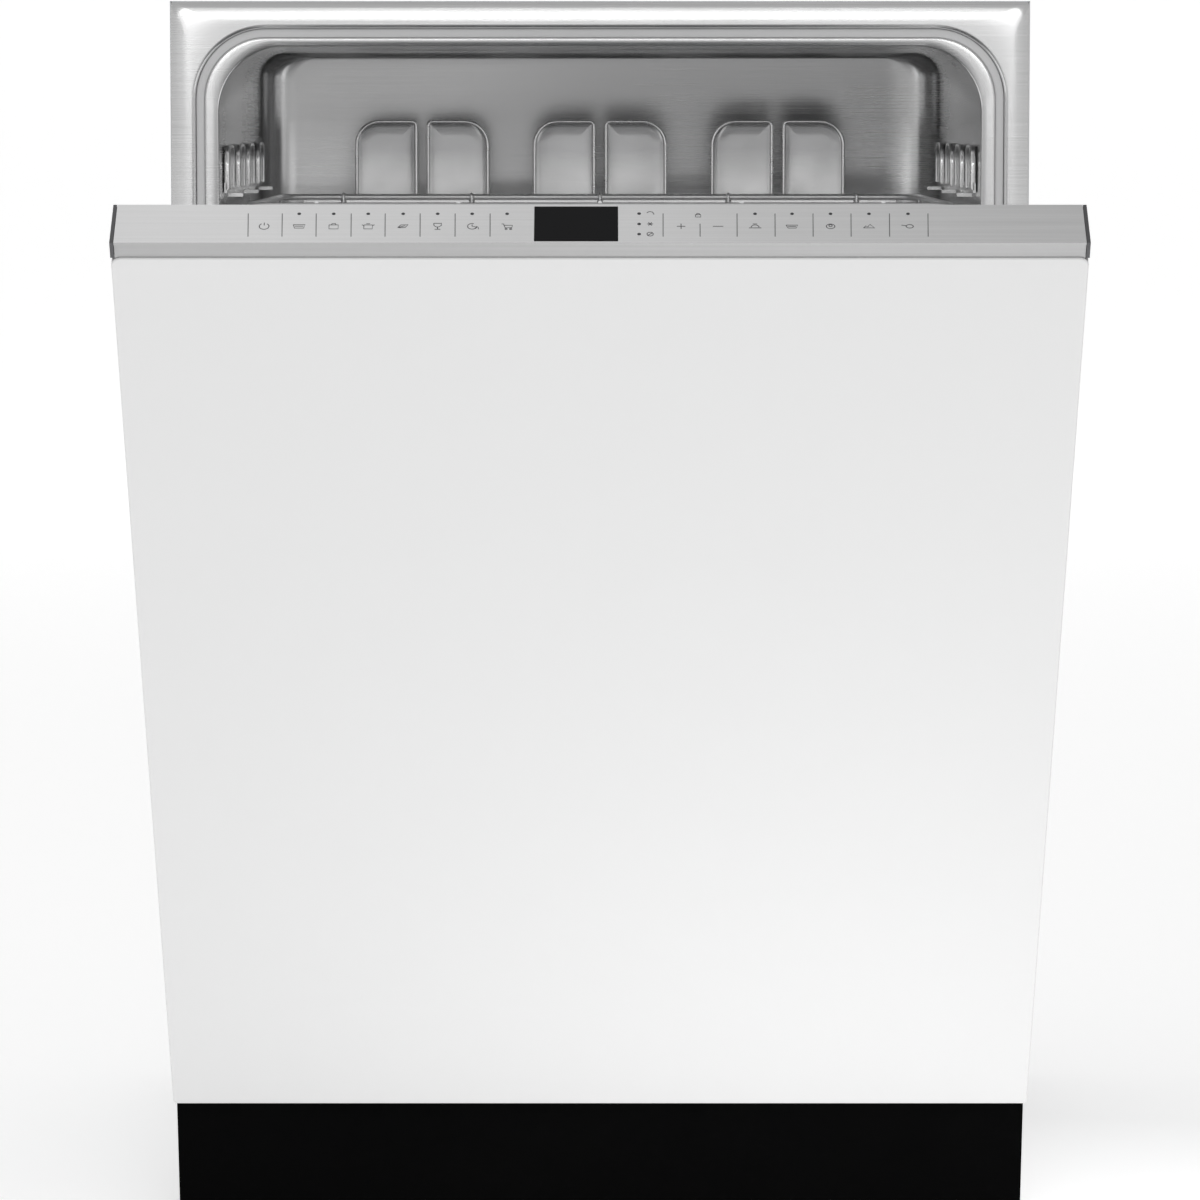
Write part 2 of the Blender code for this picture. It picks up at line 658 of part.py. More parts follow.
def make_cutlery_basket(machine):
    """Open cutlery basket with two dividers and a carrying handle."""
    low, high = Vector((0.130, 0.050, 0.2105)), Vector((0.225, 0.300, 0.330))
    wall = 0.002
    shell = box(low, high)
    bays = 3
    pitch = (high.y - low.y - wall) / bays
    pockets = []
    for bay in range(bays):
        start = low.y + wall + bay * pitch
        pockets.append(box((low.x + wall, start, low.z + wall),
                           (high.x - wall, start + pitch - wall, high.z + 0.01)))
    middle = (low.x + high.x) / 2
    posts = [box((middle - 0.004, y - wall, 0.320), (middle + 0.004, y, 0.385))
             for y in (low.y + wall + pitch, low.y + wall + 2 * pitch)]
    bar = box((middle - 0.006, low.y + pitch, 0.379), (middle + 0.006, low.y + wall + 2 * pitch, 0.387))
    body = joined(cut(shell, *pockets), *posts, bar)
    add("cutlery_basket", body, grey_plastic(), machine)


# Door, drawn closed and measured from the hinge axis ----------------------------------------------

def make_door_skins(door):
    """White outer panel and pressed steel inner liner."""
    fold = 0.0170
    inside = HALF - DOOR_SHEET
    face = DOOR_FRONT + DOOR_SHEET
    outline = [(-HALF, DOOR_FRONT), (HALF, DOOR_FRONT), (HALF, fold), (inside, fold), (inside, face),
               (-inside, face), (-inside, fold), (-HALF, fold)]
    outer = prism(outline, "Z", DOOR_BOTTOM, DOOR_TOP - STRIP_HEIGHT)
    add("door_outer_panel", outer, white_paint(), door)

    stations = [
        (DOOR_BACK, 0.2965, -0.006, 0.7340, 0.002, 0.002),
        (DOOR_BACK, 0.2640, 0.0590, 0.7020, 0.020, 0.040),
        (DOOR_BACK + 0.003, 0.2610, 0.0620, 0.6990, 0.018, 0.038),
        (DOOR_BACK + 0.012, 0.2560, 0.0670, 0.6940, 0.015, 0.035),
        (DOOR_BACK + 0.014, 0.2530, 0.0700, 0.6910, 0.013, 0.033),
    ]
    liner = thickened(pressed_sheet(stations), DOOR_SHEET, 1)
    notches = [box(*mirrored((0.2740, 0.0, -0.02), (0.31, 0.04, 0.055), side)) for side in (-1, 1)]
    latch_slot = box((-0.014, 0.0, 0.7030), (0.014, 0.04, 0.7180))
    add("door_inner_liner", cut(liner, *notches, latch_slot), stainless(), door)


def make_control_panel(door):
    """Control panel along the door's top edge, with its display, end caps and circuit board."""
    top, plate = DOOR_TOP, 0.002
    front = DOOR_FRONT + 0.0015
    lip_low = DOOR_TOP - STRIP_HEIGHT - 0.005
    outline = [(DOOR_FRONT, top), (DOOR_FRONT, top - plate), (front, top - plate), (front, lip_low),
               (front + plate, lip_low), (front + plate, top - plate), (DOOR_BACK - plate, top - plate),
               (DOOR_BACK - plate, 0.7345), (DOOR_BACK, 0.7345), (DOOR_BACK, top)]
    display = ((-0.040, -0.0176), (0.0108, 0.0170))
    (left, near), (right, far) = display
    window = box((left - GAP, near - GAP, top - plate - GAP), (right + GAP, far + GAP, top + GAP))
    fascia = cut(prism(outline, "X", -0.2965, 0.2965), window)
    add("control_fascia", fascia, silver_panel(), door)
    lens = box((left, near, top - plate), (right, far, top + GAP))
    add("display_lens", lens, black_plastic(), door)
    for name, side in SIDES:
        low, high = mirrored((0.2968, DOOR_FRONT, DOOR_TOP - STRIP_HEIGHT + 0.0004),
                             (HALF, DOOR_BACK, DOOR_TOP), side)
        add("fascia_end_cap_" + name, box(low, high), dark_plastic(), door)
    board = box((-0.215, -0.012, 0.7395), (0.215, 0.014, 0.7411))
    chip = box((-0.035, -0.008, 0.7405), (0.006, 0.008, 0.7455))
    add("control_board", joined(board, chip), board_green(), door)


def make_hinge_arms(door):
    """Steel arms that turn on the hinge pins, with tails for the springs."""
    reach = Vector((math.cos(TAIL_ANGLE), math.sin(TAIL_ANGLE)))
    across = Vector((-reach.y, reach.x)) * 0.004
    tip = reach * TAIL_LENGTH
    tail = [across, -across, tip - across, tip + across]
    for name, side in SIDES:
        xs = sorted(side * x for x in ARM_PLATE)
        bar = box((xs[0], -0.010, 0.0), (xs[1], 0.010, 0.240))
        eye = rod((0, 0, 0), "X", *xs, 0.012)
        end = rod((0, tip.x, tip.y), "X", *xs, 0.004, 12)
        hole = rod((0, 0, 0), "X", *sorted((side * 0.27, side * 0.30)), 0.0046, 12)
        arm = cut(joined(bar, eye, prism(tail, "X", *xs), end), hole)
        add("hinge_arm_" + name, arm, galvanised(), door)


def make_dispenser(door):
    """Detergent dispenser on the liner, with its flap and the turning rinse-aid cap."""
    base = DOOR_BACK + 0.014 + GAP
    face = base + 0.006
    body = box((-0.100, base, 0.380), (0.100, face, 0.490))
    well = box((-0.088, face - 0.003, 0.395), (-0.012, face + 0.01, 0.475))
    seat = rod((0.055, 0, 0.435), "Y", face - 0.003, face + 0.01, 0.024, 20)
    add("dispenser_body", cut(body, well, seat), grey_plastic(), door)
    hinge = (-0.050, face + 0.002, 0.391)
    lid = box((-0.092, face + GAP, 0.391), (-0.008, face + 0.0028, 0.479))
    knuckle = rod((-0.050, face + 0.002, 0.391), "X", -0.042, 0.042, 0.0016, 8)
    add("dispenser_lid", joined(lid, knuckle), grey_plastic(), door, hinge)
    place = (0.055, 0, 0.435)
    cap = turned([(0, face - 0.0025), (0.022, face - 0.0025), (0.022, face + 0.001),
                  (0.018, face + 0.003), (0, face + 0.003)], place, "Y", 20)
    grip = box((0.040, face + 0.002, 0.4325), (0.070, face + 0.0055, 0.4375))
    add("rinse_aid_cap", joined(cap, grip), dark_plastic(), door, place)


def make_latch(door):
    """Sprung latch tongue that reaches back through the liner's slot near the top."""
    pivot = (0, 0.010, 0.7105)
    outline = [(0.006, 0.7075), (0.040, 0.7075), (0.046, 0.7100), (0.046, 0.7120), (0.041, 0.7160),
               (0.037, 0.7160), (0.036, 0.7130), (0.006, 0.7130)]
    add("door_latch", prism(outline, "X", -0.011, 0.011), black_plastic(), door, pivot)


def main():
    for old in list(bpy.data.objects):
        bpy.data.objects.remove(old)
    machine = empty("machine", None, (0, -CENTRE_Y, 0))
    door = empty("door_pivot", machine, (0, HINGE_Y, HINGE_Z), DOOR_OPEN)
    make_tub(machine)
    make_door_seal(machine)
    make_casing(machine)
    make_base(machine)
    make_hinge_brackets(machine)
    make_door_springs(machine)
    make_sump(machine)
    make_pumps(machine)
    make_spray_arms(machine)
    make_upper_rack(machine)
    make_lower_rack(machine)
    make_door_skins(door)
    make_control_panel(door)
    make_hinge_arms(door)
    make_dispenser(door)
    make_latch(door)


main()
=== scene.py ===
"""Looks of the built-in dishwasher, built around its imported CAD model.

Places are worked out from the frame: the flange plane of the tub, the hinge joint and the boxes
of the CAD nodes. Cabinet and rack pieces are drawn from the flange plane and moved by MACHINE.
Door pieces are drawn with the door closed, from the hinge axis, and turned by DOOR.
"""

import json
import math

import bmesh
import bpy
from mathutils import Matrix, Vector


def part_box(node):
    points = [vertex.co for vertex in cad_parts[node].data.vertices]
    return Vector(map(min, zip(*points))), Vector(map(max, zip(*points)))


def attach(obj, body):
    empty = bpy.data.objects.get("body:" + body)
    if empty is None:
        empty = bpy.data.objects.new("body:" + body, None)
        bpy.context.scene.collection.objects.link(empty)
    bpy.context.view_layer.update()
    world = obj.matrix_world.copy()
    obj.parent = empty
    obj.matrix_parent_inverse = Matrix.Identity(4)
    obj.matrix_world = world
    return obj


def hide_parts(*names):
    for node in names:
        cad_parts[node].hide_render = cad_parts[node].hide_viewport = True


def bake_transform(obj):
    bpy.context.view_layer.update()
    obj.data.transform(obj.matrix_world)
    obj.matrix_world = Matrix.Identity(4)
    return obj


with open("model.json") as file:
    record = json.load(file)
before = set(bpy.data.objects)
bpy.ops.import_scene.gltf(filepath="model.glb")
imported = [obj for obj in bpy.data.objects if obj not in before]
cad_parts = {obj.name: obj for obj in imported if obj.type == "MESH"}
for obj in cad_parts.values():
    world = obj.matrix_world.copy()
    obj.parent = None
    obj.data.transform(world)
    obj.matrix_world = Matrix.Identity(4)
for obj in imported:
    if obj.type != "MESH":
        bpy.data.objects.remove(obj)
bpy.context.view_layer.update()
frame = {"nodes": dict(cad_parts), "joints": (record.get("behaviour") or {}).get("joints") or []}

JOINTS = {joint["name"]: joint for joint in frame["joints"]}
FLANGE_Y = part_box("tub")[0].y
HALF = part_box("tub")[1].x
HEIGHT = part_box("tub")[1].z
HINGE = Vector(JOINTS["door_hinge"]["pos_m"])
DOOR_TILT = -math.radians(JOINTS["door_hinge"]["range_deg"][0])   # the range starts at closed
DOOR = Matrix.Translation(HINGE) @ Matrix.Rotation(DOOR_TILT, 4, "X")
MACHINE = Matrix.Translation((0, FLANGE_Y, 0))

DOOR_FRONT = -0.0194      # the door's front face, back face, bottom and top from the hinge axis
DOOR_BACK = 0.0192
DOOR_BOTTOM = -0.007
DOOR_TOP = 0.7486
STRIP = 0.012             # front strip of the control panel
SHEET = 0.0010            # tub, liner and door steel
CASING_SHEET = 0.0008
CASING_REAR = 0.525       # the back sheet's outer face, from the flange plane


# Meshes ------------------------------

AXES = {"X": (1, 2, 0), "Y": (0, 2, 1), "Z": (0, 1, 2)}      # two across, then the one along


def arc_corners(points, radius, steps=5, closed=False):
    """The same path with each inner corner rounded."""
    points = [Vector(p) for p in points]
    count = len(points)
    rounded = []
    for index, corner in enumerate(points):
        if not closed and index in (0, count - 1):
            rounded.append(corner)
            continue
        before = points[index - 1] - corner
        after = points[(index + 1) % count] - corner
        reach = min(radius, before.length * 0.45, after.length * 0.45)
        start = corner + before.normalized() * reach
        end = corner + after.normalized() * reach
        for step in range(steps + 1):
            t = step / steps
            rounded.append(start * (1 - t) ** 2 + corner * 2 * t * (1 - t) + end * t ** 2)
    return rounded


def add_tube(bm, points, radius, sides=8, closed=False):
    """A round wire swept along a path, into bm."""
    points = [Vector(p) for p in points]
    count = len(points)
    rings = []
    normal = None
    for index, point in enumerate(points):
        if closed:
            tangent = points[(index + 1) % count] - points[index - 1]
        else:
            tangent = points[min(index + 1, count - 1)] - points[max(index - 1, 0)]
        tangent.normalize()
        if normal is None:
            normal = tangent.orthogonal().normalized()
        normal = (normal - tangent * normal.dot(tangent)).normalized()
        side = tangent.cross(normal)
        ring = []
        for corner in range(sides):
            angle = 2 * math.pi * corner / sides
            ring.append(bm.verts.new(point + (normal * math.cos(angle) + side * math.sin(angle)) * radius))
        rings.append(ring)
    for index in range(count if closed else count - 1):
        near, far = rings[index], rings[(index + 1) % count]
        shift = 0
        if closed and index == count - 1:
            shift = min(range(sides), key=lambda s: (far[s].co - near[0].co).length)
        for corner in range(sides):
            after = (corner + 1) % sides
            bm.faces.new((near[corner], near[after], far[(after + shift) % sides],
                          far[(corner + shift) % sides]))
    if not closed:
        bm.faces.new(reversed(rings[0]))
        bm.faces.new(rings[-1])


def add_box(bm, low, high):
    """A box between two corners, into bm."""
    made = bmesh.ops.create_cube(bm, size=1.0)["verts"]
    low, high = Vector(low), Vector(high)
    bmesh.ops.scale(bm, verts=made, vec=high - low)
    bmesh.ops.translate(bm, verts=made, vec=(low + high) / 2)
    return made


def add_loop(bm, outline, y):
    """Vertices of an upright outline at one depth."""
    return [bm.verts.new((x, y, z)) for x, z in outline]


def join_loops(bm, loops):
    """Quads between each loop of vertices and the next."""
    for near, far in zip(loops, loops[1:]):
        for index in range(len(near)):
            after = (index + 1) % len(near)
            bm.faces.new((near[index], near[after], far[after], far[index]))


def add_prism(bm, outline, axis, low, high):
    """An outline of two coordinates, in axis order, drawn out along the third axis, into bm."""
    first, second, along = AXES[axis]
    rings = []
    for level in (low, high):
        ring = []
        for point in outline:
            place = [0.0, 0.0, 0.0]
            place[first], place[second], place[along] = point[0], point[1], level
            ring.append(bm.verts.new(place))
        rings.append(ring)
    bm.faces.new(rings[0])
    bm.faces.new(reversed(rings[1]))
    join_loops(bm, rings)


def add_turned(bm, profile, centre, axis, sides=32):
    """A turned solid through (radius, distance along axis) points, into bm."""
    first, second, along = AXES[axis]
    rings = []
    for radius, level in profile:
        ring = []
        for index in range(1 if radius == 0 else sides):
            angle = 2 * math.pi * index / sides
            place = list(centre)
            place[first] += radius * math.cos(angle)
            place[second] += radius * math.sin(angle)
            place[along] += level
            ring.append(bm.verts.new(place))
        rings.append(ring)
    pairs = list(zip(rings, rings[1:]))
    if len(rings[0]) > 1:
        pairs.append((rings[-1], rings[0]))
    for near, far in pairs:
        for index in range(sides):
            after = (index + 1) % sides
            corners = [near[index % len(near)], near[after % len(near)],
                       far[after % len(far)], far[index % len(far)]]
            bm.faces.new(dict.fromkeys(corners))


def rounded_rect(half_width, low, high, low_radius, high_radius, steps):
    """Points of an upright rounded rectangle, seen from the front, right bottom corner first."""
    corners = (
        (half_width - low_radius, low + low_radius, low_radius, -90),
        (half_width - high_radius, high - high_radius, high_radius, 0),
        (high_radius - half_width, high - high_radius, high_radius, 90),
        (low_radius - half_width, low + low_radius, low_radius, 180),
    )
    points = []
    for x, z, radius, start in corners:
        for step in range(steps + 1):
            angle = math.radians(start + 90 * step / steps)
            points.append((x + radius * math.cos(angle), z + radius * math.sin(angle)))
    return points


def add_sheet(bm, stations, steps):
    """A sheet closed at its last station, through (y, half width, low, high, two radii) outlines."""
    loops = [add_loop(bm, rounded_rect(*shape, steps), y) for y, *shape in stations]
    join_loops(bm, loops)
    bm.faces.new(loops[-1])


def piece(name, bm, finish, body, replaces=(), place=MACHINE, sharp=35, solid=True):
    """Turn bm into a shown piece that may ride on a body and stand for CAD nodes."""
    if solid:
        bmesh.ops.recalc_face_normals(bm, faces=bm.faces)
    mesh = bpy.data.meshes.new(name)
    bm.to_mesh(mesh)
    bm.free()
    mesh.transform(place)
    mesh.shade_smooth()
    mesh.set_sharp_from_angle(angle=math.radians(sharp))
    mesh.materials.append(finish)
    made = bpy.data.objects.new(name, mesh)
    bpy.context.scene.collection.objects.link(made)
    if body:
        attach(made, body)
    if replaces:
        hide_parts(*replaces)
    return made


def bevel(made, width, segments=3, angle=30):
    """Round a piece's sharp edges."""
    step = made.modifiers.new("edges", "BEVEL")
    step.width = width
    step.segments = segments
    step.limit_method = "ANGLE"
    step.angle_limit = math.radians(angle)
    step.harden_normals = False


def thicken(made, thickness, side, even=True):
    """Give an open sheet its thickness, behind its faces (-1) or in front of them (1)."""
    uses = {}
    for face in made.data.polygons:
        for key in face.edge_keys:
            uses[key] = uses.get(key, 0) + 1
    for edge in made.data.edges:
        if uses[edge.key] == 1:
            edge.use_edge_sharp = True
    step = made.modifiers.new("thickness", "SOLIDIFY")
    step.thickness = thickness
    step.offset = side
    step.use_even_offset = even


# Materials ------------------------------

NOISE_RANGE = (0.3, 0.7)      # where most of a noise's values lie


def new_material(name, colour, roughness, metallic=0.0, **sockets):
    """A Principled material with plain values, and its node tree and shader."""
    made = bpy.data.materials.new(name)
    made.use_nodes = True
    shader = made.node_tree.nodes["Principled BSDF"]
    shader.inputs["Base Color"].default_value = (*colour, 1.0)
    shader.inputs["Roughness"].default_value = roughness
    shader.inputs["Metallic"].default_value = metallic
    for label, value in sockets.items():
        shader.inputs[label.replace("_", " ")].default_value = value
    return made, made.node_tree, shader


def mapped(tree, scale, shift=(0, 0, 0)):
    """The object's own space in metres, shifted and scaled."""
    coordinates = tree.nodes.new("ShaderNodeTexCoord")
    mapping = tree.nodes.new("ShaderNodeMapping")
    mapping.inputs["Location"].default_value = shift
    mapping.inputs["Scale"].default_value = scale
    tree.links.new(coordinates.outputs["Object"], mapping.inputs["Vector"])
    return mapping.outputs["Vector"]


def upward(tree, kind):
    """The third coordinate of one kind of texture coordinates."""
    coordinates = tree.nodes.new("ShaderNodeTexCoord")
    axes = tree.nodes.new("ShaderNodeSeparateXYZ")
    tree.links.new(coordinates.outputs[kind], axes.inputs["Vector"])
    return axes.outputs["Z"]


def map_range(tree, value, start, end, low, high):
    """A value that runs from low to high while the given one runs from start to end."""
    ranged = tree.nodes.new("ShaderNodeMapRange")
    for label, number in (("From Min", start), ("From Max", end), ("To Min", low), ("To Max", high)):
        ranged.inputs[label].default_value = number
    tree.links.new(value, ranged.inputs["Value"])
    return ranged.outputs["Result"]


def noise(tree, scale, detail=3.0, stretch=(1, 1, 1), kind="noise"):
    """Value of a noise or of cells, in metres of the object's own space."""
    place = mapped(tree, stretch)
    if kind == "cells":
        texture = tree.nodes.new("ShaderNodeTexVoronoi")
        texture.inputs["Scale"].default_value = scale
        output = texture.outputs["Color"]
    else:
        texture = tree.nodes.new("ShaderNodeTexNoise")
        texture.inputs["Scale"].default_value = scale
        texture.inputs["Detail"].default_value = detail
        output = texture.outputs["Fac"]
    tree.links.new(place, texture.inputs["Vector"])
    return output


def spread(tree, value, low, high):
    """A noise value spread between two numbers."""
    return map_range(tree, value, *NOISE_RANGE, low, high)


def tint(tree, value, dark, light):
    """A colour between two colours, by a noise value."""
    ramp = tree.nodes.new("ShaderNodeValToRGB")
    for stop, position, colour in zip(ramp.color_ramp.elements, NOISE_RANGE, (dark, light)):
        stop.position = position
        stop.color = (*colour, 1.0)
    tree.links.new(value, ramp.inputs["Fac"])
    return ramp.outputs["Color"]


def relief(tree, shader, value, strength, distance):
    """Bump on a shader from a noise value."""
    bump = tree.nodes.new("ShaderNodeBump")
    bump.inputs["Strength"].default_value = strength
    bump.inputs["Distance"].default_value = distance
    tree.links.new(value, bump.inputs["Height"])
    tree.links.new(bump.outputs["Normal"], shader.inputs["Normal"])


def scaled(colour, factor):
    """A colour made lighter or darker."""
    return tuple(channel * factor for channel in colour)


def moulded(name, colour, roughness, grain=900, depth=0.00005, variation=0.12, gloss=0.12, **sockets):
    """Moulded plastic or paint: fine grain, faint mottling and uneven gloss."""
    made, tree, shader = new_material(name, colour, roughness, **sockets)
    fine = noise(tree, grain, 2.0)
    broad = noise(tree, 14, 4.0)
    mottled = tint(tree, broad, scaled(colour, 1 - variation / 2), scaled(colour, 1 + variation / 2))
    tree.links.new(mottled, shader.inputs["Base Color"])
    tree.links.new(spread(tree, broad, roughness * (1 - gloss), roughness * (1 + gloss)),
                   shader.inputs["Roughness"])
    relief(tree, shader, fine, 0.35, depth)
    return made


def brushed(name, colour, roughness, stretch, depth=0.00002):
    """Brushed steel: fine lines along one direction, with cloudy wear in its gloss."""
    made, tree, shader = new_material(name, colour, roughness, 1.0)
    lines = noise(tree, 1.0, 3.0, stretch)
    clouds = noise(tree, 6, 4.0)
    tree.links.new(tint(tree, lines, scaled(colour, 0.95), scaled(colour, 1.03)),
                   shader.inputs["Base Color"])
    blend = tree.nodes.new("ShaderNodeMath")
    blend.operation = "ADD"
    tree.links.new(spread(tree, lines, roughness * 0.88, roughness * 1.08), blend.inputs[0])
    tree.links.new(spread(tree, clouds, -0.03, 0.05), blend.inputs[1])
    tree.links.new(blend.outputs[0], shader.inputs["Roughness"])
    relief(tree, shader, lines, 0.07, depth)
    return made


def satin_with_painted_front_shade(name, colour, front, roughness):
    """Brushed silver with painted shade: faces that look less upward, such as its front strip, are darker
    than its top.
    """
    made = brushed(name, colour, roughness, (5, 500, 500), depth=0.00001)
    tree = made.node_tree
    shader = tree.nodes["Principled BSDF"]
    upper = shader.inputs["Base Color"].links[0].from_socket
    # painted shade: the base colour is scaled by how far each face looks up, darkest on the front strip
    painted_shade_factor = map_range(tree, upward(tree, "Normal"), 0.2, 0.6, front, 1.0)
    shade = tree.nodes.new("ShaderNodeVectorMath")
    shade.operation = "SCALE"
    tree.links.new(upper, shade.inputs[0])
    tree.links.new(painted_shade_factor, shade.inputs["Scale"])
    tree.links.new(shade.outputs["Vector"], shader.inputs["Base Color"])
    return made


def zinc(name):
    """Galvanised sheet: large dull spangle."""
    made, tree, shader = new_material(name, (0.50, 0.52, 0.54), 0.42, 0.9)
    cells = noise(tree, 170, kind="cells")
    grey = tree.nodes.new("ShaderNodeRGBToBW")
    tree.links.new(cells, grey.inputs["Color"])
    tree.links.new(tint(tree, grey.outputs["Val"], (0.48, 0.49, 0.50), (0.55, 0.56, 0.57)),
                   shader.inputs["Base Color"])
    tree.links.new(spread(tree, grey.outputs["Val"], 0.38, 0.46), shader.inputs["Roughness"])
    relief(tree, shader, noise(tree, 300, 3.0), 0.2, 0.00003)
    return made


def smoked(name):
    """Smoke-grey plastic of the cup shelves and glass holders, with painted shade that darkens it towards the
    top.
    """
    made, tree, shader = new_material(name, (0.5, 0.5, 0.5), 0.2, 0.8, Coat_Weight=0.3, Coat_Roughness=0.1)
    # painted shade: the colour darkens with height, from the lobes' foot to their top
    top_shade = map_range(tree, upward(tree, "Object"), 0.700, 0.764, 0.0, 1.0)
    broad = noise(tree, 30, 3.0)
    mixed = tree.nodes.new("ShaderNodeMath")
    mixed.operation = "MULTIPLY_ADD"
    mixed.inputs[1].default_value = 0.12
    tree.links.new(broad, mixed.inputs[0])
    tree.links.new(top_shade, mixed.inputs[2])
    tree.links.new(tint(tree, mixed.outputs[0], SMOKE_LIGHT, SMOKE_SHADED_TOP), shader.inputs["Base Color"])
    tree.links.new(spread(tree, broad, 0.15, 0.25), shader.inputs["Roughness"])
    relief(tree, shader, noise(tree, 500, 2.0), 0.15, 0.00003)
    return made


# the smoke plastic's colour at the foot, and the painted shade it darkens to at the top
SMOKE_LIGHT = (0.99, 0.99, 0.99)
SMOKE_SHADED_TOP = (0.66, 0.66, 0.665)
ALONG_X = (4, 4, 1400)
STEEL = brushed("steel_tub", (0.88, 0.88, 0.882), 0.25, ALONG_X)
STEEL_LINER = brushed("steel_liner", (0.64, 0.64, 0.645), 0.26, ALONG_X)
STEEL_RAIL = brushed("steel_rail", (0.60, 0.60, 0.61), 0.22, (4, 4, 900))
STEEL_SPRING = brushed("steel_spring", (0.42, 0.42, 0.43), 0.32, (600, 60, 600))
STEEL_FILTER = brushed("steel_filter", (0.50, 0.50, 0.51), 0.30, (500, 500, 500))
ZINC = zinc("galvanised_sheet")
ENAMEL = moulded("white_enamel", (0.84, 0.84, 0.84), 0.34, 420, 0.00003, 0.004, 0.02, Coat_Weight=0.2,
                 Coat_Roughness=0.25)
# the fascia's darker front strip is painted shade, set by the third number
SILVER = satin_with_painted_front_shade("silver_fascia", (0.86, 0.86, 0.862), 0.56, 0.38)
KICK = moulded("kick_black", (0.0008, 0.0008, 0.0009), 0.6, 1400, 0.00004, 0.3, Specular_IOR_Level=0.04)
BLACK = moulded("black_plastic", (0.014, 0.014, 0.015), 0.45)
DARK = moulded("dark_plastic", (0.085, 0.086, 0.09), 0.48)
GREY = moulded("grey_plastic", (0.40, 0.41, 0.43), 0.45)
PALE = moulded("pale_plastic", (0.74, 0.74, 0.73), 0.42)
SEAL = moulded("seal_rubber", (0.80, 0.80, 0.805), 0.50, 1600, 0.00004, 0.04)
WIRE = moulded("coated_wire", (0.97, 0.97, 0.972), 0.42, 700, 0.00002, 0.04, Metallic=0.8)
BAND = moulded("coated_band", (0.98, 0.98, 0.98), 0.40, 700, 0.00001, 0.03, Metallic=0.95)
SMOKE = smoked("smoke_plastic")
# painted highlight: the rims use a lighter, more metallic copy of the smoke plastic, without its painted top
# shade
RIM_PAINTED_HIGHLIGHT = moulded("smoke_plastic_rim_highlight", (0.99, 0.99, 0.99), 0.26, 900, 0.00001, 0.02, Metallic=0.92)
GLASS = moulded("display_glass", (0.004, 0.004, 0.005), 0.22, 60, 0.000004, 0.2, Specular_IOR_Level=0.08)
BOARD = moulded("circuit_board", (0.02, 0.12, 0.05), 0.40, 800)
INK = moulded("printed_ink", (0.10, 0.10, 0.105), 0.55, 1500, 0.00001)
CAP = moulded("fascia_cap", (0.10, 0.10, 0.105), 0.40)
LAMP = moulded("lamp_window", (0.05, 0.05, 0.055), 0.25, 1500, 0.00001)


# Cabinet ------------------------------

TUB_WALL = (0.2655, 0.150, 0.816)        # half width, floor and ceiling inside the tub
OPENING = (0.2815, 0.1345, 0.8280, 0.0250, 0.0490)


def opening(inset):
    """The flange's opening, inset towards its middle."""
    half, low, high, low_radius, high_radius = OPENING
    return (half - inset, low + inset, high - inset, low_radius - inset, high_radius - inset)


def make_tub():
    """Pressed steel tub: flange, rolled edge, seal channel, step, walls and rounded back."""
    low_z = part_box("tub")[0].z
    half, floor, ceiling = TUB_WALL
    depth, fillet = 0.500, 0.025
    stations = []
    for y, inset in ((0.0020, 0.0001), (0.0014, 0.0006), (0.0007, 0.0050), (0.0002, 0.0085), (0.0, 0.0115)):
        radius = 0.003 + inset
        stations.append((y, HALF - inset, low_z + inset, HEIGHT - inset, radius, radius))
    roll = 0.0032                        # the edge that rolls from the flange into the channel
    for step in range(7):
        angle = math.radians(15 * step)
        stations.append((roll * (1 - math.cos(angle)), *opening(roll * (math.sin(angle) - 1))))
    stations += [(0.0044, *opening(0.0001)), (0.0048, *opening(0.0005)), (0.0048, *opening(0.0056)),
                 (0.0044, *opening(0.0060)), (0.0030, *opening(0.0062)), (0.0022, *opening(0.0067)),
                 (0.0020, *opening(0.0075))]
    edge, wall = opening(0.0075), (half, floor, ceiling, 0.0100, 0.0460)
    for y, share in ((0.0025, 0.45), (0.0031, 0.84), (0.0037, 0.95), (0.0046, 0.99), (0.0058, 1.0)):
        stations.append((y, *[near + (far - near) * share for near, far in zip(edge, wall)]))
    stations.append((0.0200, half, floor, ceiling, 0.010, 0.045))
    spans = 8
    for step in range(1, spans + 1):
        y = 0.020 + (depth - fillet - 0.020) * step / spans
        stations.append((y, half, floor, ceiling, 0.010, 0.045 - 0.025 * step / spans))
    turns = 10
    for step in range(1, turns + 1):
        angle = math.radians(90 * step / turns)
        inset = fillet * (1 - math.cos(angle))
        y = depth - fillet * (1 - math.sin(angle))
        stations.append((y, half - inset, floor + inset, ceiling - inset * 0.15, 0.010, 0.020))
    bm = bmesh.new()
    add_sheet(bm, stations, steps=20)
    tub = piece("tub_shell", bm, STEEL, "cabinet", ("tub",), solid=False, sharp=50)
    thicken(tub, SHEET, -1, even=False)


def make_seal():
    """Soft seal lying in its channel, with a rounded bead."""
    bm = bmesh.new()
    bead = [(0.0046, 0.0006), (0.0040, 0.0003), (0.0032, 0.0003), (0.0024, 0.0012), (0.0021, 0.0030),
            (0.0021, 0.0048), (0.0023, 0.0058), (0.0030, 0.0061), (0.0046, 0.0058)]
    loops = [add_loop(bm, rounded_rect(*opening(inset), 20), y) for y, inset in bead]
    join_loops(bm, loops + loops[:1])
    piece("seal_bead", bm, SEAL, "cabinet", ("door_seal",), sharp=60)


